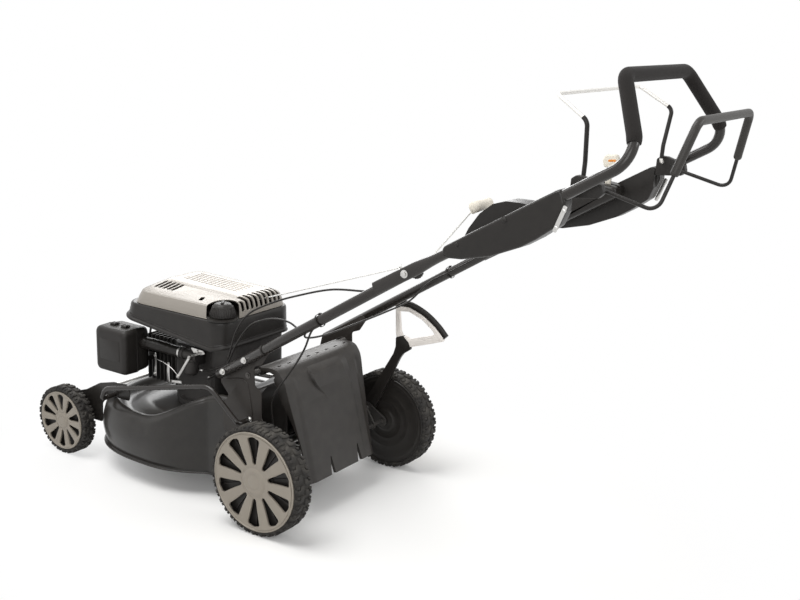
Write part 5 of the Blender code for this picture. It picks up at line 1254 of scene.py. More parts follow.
def flap_skin(wall):
    """The flap's shell: rounded top, raised middle panel with soft shoulders, turned-in sides."""
    places, sizes = flap_rows()
    rings = []
    for place, size, (along, _, _) in zip(places, sizes, path_frames(places)):
        half, deep, rise = size
        out = along.cross(Vector((1, 0, 0))).normalized()
        left = -0.128
        right = 0.134
        lower = max(rise, 0)
        fade = smooth_step(0.262, 0.34, place.z)
        proud = 0.0085 * fade * min(max((0.367 - place.z) / 0.019, 0), 1)
        corner = -0.064 + 0.05 * (1 - fade)
        inner = 0.0945 - 0.03 * fade
        edge = [(0, -0.002), (0.0006, -0.0006), (0.002, 0)]
        shoulder = [(-0.002, 0), (0, 0.06), (0.003, 0.3), (0.009, 0.84), (0.012, 0.97), (0.016, 1)]
        section = [(-half + x, n) for x, n in edge] + [(left + x, lower * n) for x, n in shoulder]
        section += [
            (corner, lower), (corner + 0.0004, lower + proud * 0.1), (corner + 0.0026, lower + proud * 0.9),
            (corner + 0.0036, lower + proud), (inner - 0.0008, lower + proud),
            (inner + 0.0008, lower + proud * 0.96), (0.0935, lower + proud * 0.04), (0.095, lower)]
        section += [
            (right - x, lower * n) for x, n in shoulder[::-1]] + [(half - x, n) for x, n in edge[::-1]]
        section += [(half, -deep), (half - wall, -deep), (half - wall, -wall), (inner, -wall),
                    (corner, -wall), (-half + wall, -wall), (-half + wall, -deep), (-half, -deep)]
        rings.append([place + Vector((x, 0, 0)) + out * n for x, n in section])
    return grown_rings(rings)


class MOWER_OT_flap(bpy.types.Operator):
    """Makes the hinged rear flap with its barrel, slits and notches, its springs and the chute"""
    bl_idname = "mower.flap"
    bl_label = "Rear flap"

    def execute(self, context):
        sizes = context.scene.mower_flap
        shell = piece(
            "moulded_rear_flap", flap_skin(sizes.wall), "flap plastic", ("rear_flap",), "flap", smooth=35)
        cutters = []
        for x in (-0.045, 0.07):
            cutters.append(slab([(x - 0.011, 0.075), (x + 0.011, 0.075), (x + 0.0012, 0.134),
                                 (x - 0.002, 0.134)], -0.08, -0.01, "Y"))
        for i in range(sizes.slits):
            x = -0.135 + 0.27 * i / max(sizes.slits - 1, 1)
            cutters.append(block((x - 0.0065, 0.06, 0.372), (x + 0.0065, 0.065, 0.39), 0, 1))
        carved(shell, joined(*cutters))
        barrel = spindle([(-0.158, 0.0046), (0.158, 0.0046), (0.158, 0.0108), (0.1572, 0.0115),
                          (-0.1572, 0.0115), (-0.158, 0.0108)], 40, centre=(0, *FLAP_PIN), closed=True)
        piece("flap_barrel", barrel, "flap plastic", body="flap")
        arm = tube([(0.1975, 0.105, 0.3732), (0.199, 0.12, 0.372), (0.2012, 0.14, 0.362)], 0.0012, 8)
        winding = coil((0.1665, *FLAP_PIN), (0.1975, *FLAP_PIN), 0.0072, 0.0012, sizes.spring_turns, 8, 14)
        twins("flap_spring", joined(winding, arm), "dark steel")
        softened_node("rear_chute", "black plastic", 0.0012, 2)
        return {"FINISHED"}


# Engine

class MowerEngine(bpy.types.PropertyGroup):
    """Sizes of the engine's fine shapes."""
    grille_slots: count_value("Grille slots", "Slots over the cover's rear shoulder", 4, 14, 9)
    side_slots: count_value("Side slots", "Slanted slots at the cover's left front", 0, 8, 5)
    ridges: count_value("Ridges", "Fine ridges on the cover's plateau", 0, 10, 6)
    cap_ribs: count_value("Cap ribs", "Ribs round the fuel cap", 12, 72, 40)
    cover_wall: length_value("Cover wall", "Thickness of the pale cover", 0.0015, 0.004, 0.0025)


def shroud_ring(inset, level, above_edge=None):
    """A ring of the blower housing, level or at a height above its bent lower edge."""
    ring = []
    slight = inset * 0.35
    near = box_outline(*SHROUD_PLAN, 0.05, 12, slight)
    wide = box_outline(*SHROUD_PLAN, 0.05, 12, inset)
    for (x, y), (far_x, far_y) in zip(near, wide):
        share = smooth_step(0.26, 0.4, y) if inset < 0 else 1
        x += (far_x - x) * share
        y += (far_y - y) * share
        if above_edge is None:
            ring.append(Vector((x, y, level)))
        else:
            bend = 0.167 * max(y - 0.315, 0) + 0.19 * max(0.315 - y, 0)
            ring.append(Vector((x, y, level + bend + above_edge)))
    return ring


def shroud_shell():
    """The black housing with its crease, its flared foot and a rolled lower lip."""
    edge = 0.376
    rows = ((0.008, 0.4655), (0.005, 0.4652), (0.0026, 0.464), (0.001, 0.4615), (0, 0.457), (-0.0004, 0.45),
            (-0.0018, edge, 0.024), (-0.0022, edge, 0.016), (-0.003, edge, 0.011), (-0.0055, edge, 0.0075),
            (-0.0082, edge, 0.0062), (-0.0092, edge, 0.0044), (-0.0092, edge, 0.0014), (-0.0082, edge, 0),
            (0.006, edge, 0), (0.004, edge, 0.016), (0.003, 0.4535), (0.007, 0.4625))
    return grown_rings([shroud_ring(*row) for row in rows])


def cover_height(y):
    """The plateau of the cover rises a little to the front."""
    return COVER_FOOT + 0.0469 + 0.035 * (y - 0.3)


def cover_rings(wall):
    """Rings of the pale cover: plateau, shoulder, sharp crease, upright band and foot, then its inside."""
    rows = [
        (-0.022, 0.06, 0.3, 0.527, 0.022, 0.0468, 0.035),
        (-0.045, 0.0765, 0.261, 0.543, 0.027, 0.0456, 0.031),
        (-0.052, 0.08, 0.253, 0.548, 0.028, 0.0441, 0.03),
        (-0.062, 0.0835, 0.2496, 0.5515, 0.03, 0.0418, 0.027),
        (-0.1, 0.099, 0.2465, 0.564, 0.038, 0.0378, 0.012),
        (-0.133, 0.1082, 0.2446, 0.5728, 0.0445, 0.0336, 0.002),
        (-0.1396, 0.1103, 0.2438, 0.5745, 0.046, 0.0318, 0),
        (-0.1412, 0.1116, 0.2431, 0.5758, 0.047, 0.0293, 0), (-0.147, 0.117, 0.24, 0.581, 0.049, 0.0172, 0),
        (-0.1505, 0.1188, 0.2384, 0.5854, 0.05, 0.004, 0), (-0.151, 0.119, 0.238, 0.586, 0.05, 0.0002, 0)]
    rings = []
    for inside in (0, wall):
        turn = []
        for x0, x1, y0, y1, radius, rise, slope in rows:
            outline = box_outline(x0, x1, y0, y1, radius - inside, 10, inside)
            turn.append([Vector((x, y, COVER_FOOT + max(rise + slope * (y - y0 - inside) - inside, 0.0002)))
                         for x, y in outline])
        rings += turn if inside == 0 else turn[::-1]
    return rings


def fuel_cap_shape(ribs):
    """A tapered, ribbed cap with a bar for the fingers."""
    low = COVER_FOOT
    x, y = FUEL_CAP
    body = spindle(
        [(low, 0), (low, 0.0275), (low + 0.0008, 0.0282), (low + 0.0062, 0.0288), (low + 0.0068, 0.0325),
         (low + 0.008, 0.0334), (low + 0.016, 0.0334), (low + 0.026, 0.03), (low + 0.035, 0.0256),
         (low + 0.0392, 0.0226), (low + 0.0414, 0.019), (low + 0.0422, 0.015), (low + 0.0424, 0)], 72, "Z",
        (x, y, 0))
    rib = slab(
        [(x + 0.03, low + 0.0085), (x + 0.0347, low + 0.0092), (x + 0.0347, low + 0.0166),
         (x + 0.0274, low + 0.0342), (x + 0.024, low + 0.035)], y - 0.0011, y + 0.0011, "Y", rounding=0.0004)
    grip = slab(bar_outline((x - 0.0105, y), (x + 0.0105, y), 0.004), low + 0.0405, low + 0.0465, "Z",
                rounding=0.002, segments=4)
    turned(grip, 35, "Z", (x, y, 0))
    return joined(body, repeated(rib, ribs, (0, 0, 1), (x, y, 0)), grip)


def filter_skin(rows):
    """The skin over the filter's rounded outline at the given depths and insets."""
    rings = []
    for x, inset in rows:
        outline = box_outline(*FILTER_SECTION, 0.014, 8, inset)
        rings.append([Vector((x, y, z)) for y, z in outline])
    return grown_rings(rings)


def air_filter_cover():
    """The filter's outer shell with its soft edge, a rib along its front and two sprung clips."""
    shell = filter_skin(
        [(-0.15, 0.0006), (-0.1506, 0), (-0.156, 0), (-0.1566, 0.0008), (-0.1582, 0.0008), (-0.1588, 0.0001),
         (-0.188, 0.0009), (-0.1935, 0.0022), (-0.1972, 0.0046), (-0.1996, 0.0082), (-0.2008, 0.0118),
         (-0.201, 0.016)])
    panel = slab(box_outline(0.578, 0.656, 0.3, 0.362, 0.006, 5), -0.2016, -0.2, rounding=0.0006)
    clips = []
    for y in (0.585, 0.628):
        arm = slab([(-0.17, 0.39), (-0.17, 0.3962), (-0.167, 0.3985), (-0.156, 0.3985), (-0.152, 0.3965),
                    (-0.1512, 0.3925), (-0.153, 0.3925), (-0.1545, 0.3945), (-0.165, 0.3945),
                    (-0.1665, 0.39)], y, y + 0.018, "Y", rounding=0.0006)
        rib = block((-0.166, y + 0.003, 0.3975), (-0.156, y + 0.0045, 0.3995), 0.0004, 1)
        clips += [arm, rib, moved(rib.copy(), (0, 0.01, 0))]
    return joined(shell, panel, *clips)


def intake_duct():
    """The bent rubber duct from the filter to the carburettor, with its clamp."""
    path = curved_route(
        [(-0.132, 0.578, 0.35), (-0.132, 0.548, 0.35), (-0.126, 0.508, 0.348), (-0.114, 0.472, 0.341),
         (-0.112, 0.445, 0.34), (-0.112, 0.4258, 0.34)], 36)
    sizes = []
    for point in path:
        folds = 0.0011 * max(0, sin((0.552 - point.y) * 420)) if 0.478 < point.y < 0.552 else 0
        sizes.append(0.0153 + folds + 0.0006 * smooth_step(0.5, 0.55, point.y))
    duct = tube(path, sizes, 28)
    clamp = hollow_tube([(-0.112, 0.4335, 0.34), (-0.112, 0.4275, 0.34)], 0.0166, 0.0012, 36)
    return duct, clamp


def carburettor_body():
    """Barrel with its flanges, mount, and float bowl with its drain bolt."""
    barrel = spindle(
        [(0.365, 0), (0.365, 0.0155), (0.366, 0.0165), (0.3705, 0.0165), (0.3715, 0.014), (0.414, 0.014),
         (0.415, 0.0165), (0.4242, 0.0165), (0.425, 0.0155), (0.425, 0)], 36, "Y", (-0.112, 0, 0.34))
    mount = block((-0.1125, 0.3725, 0.3125), (-0.0786, 0.4075, 0.3475), 0.0025, 3)
    bowl = spindle([
        (0.284, 0), (0.284, 0.006), (0.2862, 0.014), (0.2905, 0.0178), (0.296, 0.0188), (0.32, 0.0188),
        (0.321, 0.02), (0.324, 0.02), (0.325, 0.0188), (0.33, 0.017), (0.33, 0)], 40, "Z", (-0.112, 0.392, 0))
    drain = bolt((-0.112, 0.392, 0.2842), (0, 0, -1), 0.0045, 0.0036)
    return joined(barrel, mount, bowl, drain)


def throttle_linkage():
    """The bright plates, bar and bolts beside the carburettor."""
    rows = (([
        (0.372, 0.349), (0.389, 0.3655), (0.341, 0.3635), (0.332, 0.356), (0.35, 0.35)], 0.004, -0.1215,
        -0.1195), ([(0.5215, 0.321), (0.5285, 0.321), (0.53, 0.253), (0.5225, 0.253)], 0.002, -0.119, -0.117),
        ([(0.425, 0.252), (0.48, 0.245), (0.48, 0.253), (0.427, 0.26)], 0.002, -0.119, -0.1168),
        ([(0.466, 0.306), (0.476, 0.304), (0.477, 0.248), (0.467, 0.247)], 0.002, -0.1235, -0.1215))
    plates = [
        slab(softened(outline, corner), low, high, rounding=0.0004) for outline, corner, low, high in rows]
    bar = slab(bar_outline((0.3805, 0.34), (0.424, 0.277), 0.0036), -0.1335, -0.1319, rounding=0.0004)
    pull = tube(curved_route(
        [(-0.131, 0.4235, 0.2775), (-0.131, 0.456, 0.298), (-0.128, 0.495, 0.306), (-0.124, 0.524, 0.308)],
        20), 0.0011, 8)
    spring = coil((-0.1265, 0.383, 0.342), (-0.1265, 0.34, 0.359), 0.003, 0.0006, 12, 6, 10)
    places = ((-0.1215, 0.36, 0.3585, 0.0042, 0.003), (-0.1335, 0.3805, 0.34, 0.0036, 0.0028),
              (-0.1335, 0.424, 0.277, 0.0036, 0.0028), (-0.119, 0.525, 0.314, 0.004, 0.003),
              (-0.119, 0.5262, 0.261, 0.004, 0.003))
    heads = [bolt(row[:3], (-1, 0, 0), *row[3:]) for row in places]
    return joined(*plates, bar, pull, spring, *heads)


class MOWER_OT_engine(bpy.types.Operator):
    """Makes the engine's housing, pale cover, fuel cap, block, intake, filter and muffler"""
    bl_idname = "mower.engine"
    bl_label = "Engine"

    def execute(self, context):
        sizes = context.scene.mower_engine
        piece("blower_housing", shroud_shell(), "satin plastic", ("engine_shroud",), smooth=50)
        bead = [p + Vector((0, 0, 0.0022)) for p in shroud_ring(-0.0032, 0.376, 0.0115)]
        piece("blower_housing_bead", tube(bead, 0.001, 8, closed=True), "satin plastic")
        cover = piece("pale_engine_cover", grown_rings(cover_rings(sizes.cover_wall)), "champagne lacquer",
                      ("engine_cover",), smooth=45)
        cutters = [spindle([(0.44, 0), (0.44, 0.043), (0.56, 0.043), (0.56, 0)], 64, "Z", (*FUEL_CAP, 0))]
        for i in range(sizes.grille_slots):
            x = -0.0765 + i * 0.0183
            far = 0.256 if i == 0 else 0.277
            cutters.append(block((x - 0.0006, 0.225, COVER_FOOT + 0.015), (x + 0.011, far, 0.55), 0.003, 3))
        for i in range(sizes.side_slots):
            slot = slab(bar_outline((-0.018, 0), (0.018, 0), 0.0054, 6), COVER_FOOT + 0.02, 0.55, "Z")
            turned(slot, -5.6, "Z")
            cutters.append(moved(slot, (-0.081, 0.471 + 0.0158 * i, 0)))
        cutters.append(slab(bar_outline((-0.114, 0.352), (-0.103, 0.356), 0.0065), 0.47, 0.55, "Z"))
        carved(cover, joined(*cutters))
        details = []
        for i in range(sizes.ridges):
            x = -0.015 + i * 0.0135
            details.append(rod((x, 0.316, cover_height(0.316) - 0.0012),
                               (x, 0.512, cover_height(0.512) - 0.0012), 0.0024, 20, 0.0004))
        details.append(tube(
            [Vector((x, y, COVER_FOOT + 0.0018))
             for x, y in box_outline(-0.1518, 0.1198, 0.2372, 0.5868, 0.0505, 12)], 0.0009, 8, closed=True))
        piece("cover_ridges", joined(*details), "champagne lacquer")
        neck = spindle([(0.465, 0.0426), (0.465, 0.03), (0.4716, 0.03), (0.4716, 0.0328), (0.469, 0.0426)],
                       60, "Z", (*FUEL_CAP, 0), closed=True)
        piece("fuel_filler_rim", neck, "satin plastic")
        piece("ribbed_fuel_cap", fuel_cap_shape(sizes.cap_ribs), "black plastic", ("fuel_cap",), "fuel_cap",
              smooth=35)
        flange = [bolt((0.088 * cos(a), BLADE_Y + 0.088 * sin(a), 0.1963), (0, 0, 1), 0.006, 0.0048)
                  for a in (0.55, 2.6, 3.7, 5.7)]
        head = [
            bolt((x, 0.6115, z), (0, 1, 0), 0.0055, 0.0042) for x in (-0.05, 0.05) for z in (0.235, 0.335)]
        plug = spindle([(0.611, 0), (0.611, 0.009), (0.619, 0.009), (0.62, 0.006), (0.63, 0.0055),
                        (0.631, 0.008), (0.648, 0.0085), (0.65, 0.0065), (0.65, 0)], 20, "Y", (0, 0, 0.285))
        softened_node("engine_block", "dark casting", 0.0007, 2, joined(*flange, *head))
        piece("spark_plug_boot", plug, "cable sheath")
        lead = curved_route([(0, 0.646, 0.288), (-0.012, 0.652, 0.3), (-0.04, 0.628, 0.335),
                             (-0.06, 0.602, 0.37), (-0.062, 0.59, 0.4)], 24)
        piece("spark_plug_lead", tube(lead, 0.0033, 12), "cable sheath")
        louvres = [block((0.1352, 0.526 + 0.014 * i, 0.296), (0.137, 0.533 + 0.014 * i, 0.318), 0.0007, 1)
                   for i in range(6)]
        softened_node(
            "muffler", "muffler steel", 0.001, 2,
            joined(*louvres, bolt((0.136, 0.53, 0.262), OUT, 0.005, 0.004),
                   bolt((0.136, 0.59, 0.262), OUT, 0.005, 0.004)))
        back = joined(filter_skin(
            [(-0.1496, 0.0024), (-0.1476, 0.0014), (-0.12, 0.003), (-0.112, 0.0044), (-0.1092, 0.007),
             (-0.108, 0.011)]), block((-0.112, 0.57, 0.286), (-0.0663, 0.604, 0.3), 0.0016, 2))
        piece("filter_back_plate", back, "black plastic", ("filter_base",))
        duct, clamp = intake_duct()
        piece("intake_duct", duct, "satin plastic", smooth=60, slot="soft_rubber")
        piece("duct_clamp", clamp, "plated steel")
        piece("filter_shell", air_filter_cover(), "black plastic", ("filter_cover",), "filter_cover",
              smooth=35)
        piece("fine_carburettor", carburettor_body(), "dark casting", ("carburettor",))
        piece("throttle_linkage", throttle_linkage(), "plated steel")
        return {"FINISHED"}


# Running gear

class MOWER_OT_running_gear(bpy.types.Operator):
    """Rounds and finishes the axles, the height linkage, the drive and the blade"""
    bl_idname = "mower.running_gear"
    bl_label = "Running gear"

    def execute(self, context):
        for name, finish, width in (
                ("rear_axle", "dark steel", 0.0005), ("front_axle", "plated steel", 0.0005),
                ("height_link_rod", "plated steel", 0.0004), ("drive_shaft", "drawn steel", 0.0005),
                ("crankshaft", "drawn steel", 0.0005), ("blade", "drawn steel", 0.0004),
                ("gearbox_pulley", "plated steel", 0.0005)):
            softened_node(name, finish, width)
        for label, _ in SIDES:
            softened_node(f"pinion_{label}", "plated steel", 0.0003, 1)
        refinish("drive_belt", "belt rubber")
        y, z = REAR_PIVOT
        screws = []
        for x in (-0.0362, 0.0362):
            for k in range(4):
                angle = radians(45 + 90 * k)
                screws.append(bolt((x, y + 0.0155 * cos(angle), z + 0.0155 * sin(angle)),
                                   (copysign(1, x), 0, 0), 0.003, 0.0024))
        ribs = [spindle([(x, 0.0285), (x, 0.0312), (x + 0.0025, 0.0312), (x + 0.0025, 0.0285)], 36,
                        centre=(0, y, z), closed=True) for x in (-0.0195, -0.01, 0.0075, 0.017)]
        softened_node("gearbox", "cast alloy", 0.0009, 2, joined(*screws, *ribs))
        return {"FINISHED"}


# Handle tubes and their fittings

class MowerHandle(bpy.types.PropertyGroup):
    """Sizes of the handle's fine shapes."""
    lower_radius: length_value("Lower tube", "Radius of the two lower tubes", 0.01, 0.0125, 0.0125)
    upper_radius: length_value("Upper tube", "Radius of the bent upper tube", 0.009, 0.0112, 0.011)
    grip_radius: length_value("Foam grip", "Outer radius of the foam sleeve", 0.013, 0.018, 0.0152)
    knob_lobes: count_value("Knob ribs", "Ribs round each clamp knob", 6, 40, 20)


def upper_path():
    """Centre line of the upper tube, from the right-hand lap over the bar to the left."""
    start = Vector((0.24, -0.56, upper_z(-0.56)))
    corner = Vector((0.258, -0.8964, upper_z(-0.8964)))
    half = bent(
        [start, corner, Vector((0.166, -0.819, 1.152)), Vector((0, -0.819, 1.152))], (0.055, 0.034), 12)
    lap = [Vector((x, y, upper_z(y))) for x, y in (
        (0.2378, -0.3), (0.2378, -0.306), (0.2378, -0.395), (0.2378, -0.412), (0.2386, -0.43),
        (0.2394, -0.446), (0.24, -0.462), (0.24, -0.48))]
    return both_sides(lap + half[:-1])


def upper_sizes(path, radius):
    """Flattened at the laps, easing into a round tube."""
    sizes = []
    for point in path:
        share = smooth_step(-0.4, -0.462, point.y) if point.z < 0.9 else 1
        sizes.append((0.007 + (radius - 0.007) * share, 0.015 + (radius - 0.015) * share))
    return sizes


def cable_tie(y, x, slope, radius):
    """A band round a lower tube."""
    centre = Vector((x, y, tube_z(y)))
    return hollow_tube([centre - slope * 0.0022, centre + slope * 0.0022], radius + 0.001, 0.001, 32)


class MOWER_OT_handle(bpy.types.Operator):
    """Makes the lower tubes, the bent upper tube, its bolts and knobs and the foam grip"""
    bl_idname = "mower.handle"
    bl_label = "Handle"

    def execute(self, context):
        sizes = context.scene.mower_handle
        low = 0.191
        high = -0.394
        slope = Vector((0, high - low, tube_z(high) - tube_z(low))).normalized()
        ends = [Vector((TUBE_X, y, tube_z(y))) for y in (low, high)]
        radius = sizes.lower_radius
        path = [ends[0], ends[0] + slope * 0.0015, ends[1] - slope * 0.0015, ends[1]]
        bar = tube(path, [radius - 0.0012, radius, radius, radius - 0.0012], 36)
        plug = tube([ends[1] + slope * along for along in (-0.004, 0.001, 0.0016)],
                    [radius - 0.0014, radius - 0.0016, radius - 0.003], 28)
        twins("lower_tube", joined(bar, plug), "tube lacquer", "handle_lower")
        for label, side in SIDES:
            fittings = [bolt((BRACKET_OUT + 0.0255, y, z), OUT, 0.006, 0.005)
                        for y, z in ((0.167, 0.369), (0.096, tube_z(0.096)))]
            if side < 0:
                fittings += [bolt((0.1922, 0.199, 0.359), (-1, 0, 0), 0.0046, 0.0034, "round")]
            piece(f"tube_bolts_{label}", mirrored(joined(*fittings), side), "plated steel")
        eye = joined(
            tube([Vector((-0.1815 + 0.0062 * cos(a), -0.33, 0.7045 + 0.0062 * sin(a)))
                  for a in (radians(95 + 10 * i) for i in range(18))], 0.0015, 8),
            tube([(-0.1877, -0.33, 0.703), (-0.191, -0.33, 0.6985), (-0.2, -0.33, 0.691),
                  (-0.207, -0.33, 0.685)], 0.0015, 8))
        piece("rope_guide_eye", eye, "plated steel")
        ties = [cable_tie(-0.131, -TUBE_X, slope, 0.015), cable_tie(0.04, -TUBE_X, slope, 0.0128),
                cable_tie(-0.216, TUBE_X, slope, 0.015)]
        locks = [
            block((x - 0.0035, y - 0.003, tube_z(y) + 0.0132), (x + 0.0035, y + 0.003, tube_z(y) + 0.0185),
                  0.0008, 2) for x, y in ((-TUBE_X, -0.131), (TUBE_X, -0.216))]
        piece("cable_ties", joined(*ties, *locks), "satin plastic")

        path = upper_path()
        bar = tube(path, upper_sizes(path, sizes.upper_radius), 32)
        piece("bent_upper_tube", bar, "tube lacquer", ("handle_upper",), "upper_handle")
        pivots = []
        knobs = []
        for side in (1, -1):
            head = joined(
                bolt((0.2449, *FOLD), OUT, 0.0068, 0.0055), rod((0.234, *FOLD), (0.205, *FOLD), 0.0038, 20))
            pivots.append(mirrored(head, side))
            knob = spindle(
                [(0.1907, 0), (0.1907, 0.0095), (0.1918, 0.012), (0.1938, 0.0168), (0.1952, 0.0178),
                 (0.2012, 0.0178), (0.2022, 0.0168), (0.2045, 0.012), (0.2047, 0)], 40, centre=(0, *FOLD))
            rib = block((0.195, FOLD[0] - 0.0014, FOLD[1] + 0.0165),
                        (0.2014, FOLD[0] + 0.0014, FOLD[1] + 0.019), 0.0006, 1)
            knobs.append(mirrored(joined(knob, repeated(rib, sizes.knob_lobes, (1, 0, 0), (0, *FOLD))), side))
        piece("fold_bolts", joined(*pivots), "plated steel", body="upper_handle")
        piece("clamp_knobs", joined(*knobs), "black plastic", body="upper_handle")

        kept = [i for i, p in enumerate(path) if p.z > 1.036]
        route = path[kept[0]:kept[-1] + 1]
        route = [route[0] + (route[0] - route[1]).normalized() * 0.006, *route,
                 route[-1] + (route[-1] - route[-2]).normalized() * 0.006]
        dense = []
        for a, b in zip(route, route[1:]):
            parts = max(1, int((b - a).length / 0.012))
            dense += [a.lerp(b, k / parts) for k in range(parts)]
        dense.append(route[-1])
        grip = sizes.grip_radius
        skin = [grip - 0.0014, grip - 0.0004] + [grip] * (len(dense) - 4) + [grip - 0.0004, grip - 0.0014]
        foam = piece(
            "foam_sleeve", tube(dense, skin, 36), "grip foam", ("foam_grip",), "upper_handle", smooth=70)
        return {"FINISHED"}


# Side covers, bails and levers

class MowerControls(bpy.types.PropertyGroup):
    """Sizes of the hand controls' fine shapes."""
    bail_radius: length_value("Bail wire", "Radius of the bails' wire", 0.003, 0.0042, 0.004)
    sleeve_radius: length_value("Bail sleeve", "Radius of the drive bail's grey sleeve", 0.006, 0.01, 0.0088)
    edge: length_value("Cover edge", "Roundness of the side covers' outer edge", 0.003, 0.01, 0.007)


def inset_ring(outline, x, inset):
    """An outline of a side section drawn in evenly towards its inside, at one depth."""
    points = [Vector((0, y, z)) for y, z in outline]
    area = sum(a.y * b.z - b.y * a.z for a, b in zip(points, points[1:] + points[:1]))
    turn = 1 if area > 0 else -1
    ring = []
    count = len(points)
    for i, point in enumerate(points):
        before = (point - points[i - 1]).normalized()
        after = (points[(i + 1) % count] - point).normalized()
        along = (before + after).normalized()
        inward = Vector((0, -along.z, along.y)) * turn
        ring.append(Vector((x, point.y, point.z)) + inward * inset)
    return ring


def side_cover_shape(edge):
    """The outer half: straight along its top, deep-bellied below, with a parting line."""
    top = [(-0.484, 0.785), (-0.56, upper_z(-0.56) + 0.018), (-0.65, upper_z(-0.65) + 0.018), (-0.747, 0.938)]
    belly = [(-0.758, 0.906), (-0.738, 0.858), (-0.6985, 0.829), (-0.664, 0.808), (-0.597, 0.78),
             (-0.53, 0.764), (-0.496, 0.762), (-0.482, 0.768)]
    outline = softened(top + belly, 0.016, 6)
    levels = [(0.212, 0.0026), (0.2124, 0.0012), (0.2136, 0.0003), (0.2156, 0), (0.236, 0), (0.2363, 0.0008),
              (0.2371, 0.0008), (0.2374, 0)]
    start = 0.262 - edge
    levels += [
        (start + edge * sin(radians(a)), edge * (1 - cos(radians(a)))) for a in (0, 15, 30, 45, 60, 75, 90)]
    return grown_rings([inset_ring(outline, x, inset) for x, inset in levels])


def hump_shape():
    """The rounded housing on a side cover's inner face."""
    rises = ((-0.5, 0.004), (-0.52, 0.034), (-0.545, 0.054), (-0.575, 0.06), (-0.605, 0.052), (-0.64, 0.032),
             (-0.68, 0.004))
    outline = [(y, upper_z(y) + rise) for y, rise in rises]
    outline += [(-0.68, upper_z(-0.68) - 0.02), (-0.5, upper_z(-0.5) - 0.02)]
    outline = softened(outline, 0.018, 6)
    levels = [(0.158 + 0.01 * (1 - sin(radians(a))), 0.01 * (1 - cos(radians(a))))
              for a in (90, 75, 60, 45, 30, 15, 0)]
    levels += [(0.186, 0), (0.1864, 0.0008), (0.1872, 0.0008), (0.1876, 0), (0.218, 0)]
    return grown_rings([inset_ring(outline, x, inset) for x, inset in levels])


def drive_bail_path():
    corners = [(0.225, *DRIVE_PIVOT), (0.2035, *DRIVE_PIVOT), (0.2075, -0.922, 0.905),
               (0.155, -0.9685, 1.075), (0, -0.9685, 1.075)]
    return bent(corners, (0.009, 0.024, 0.022), 8)


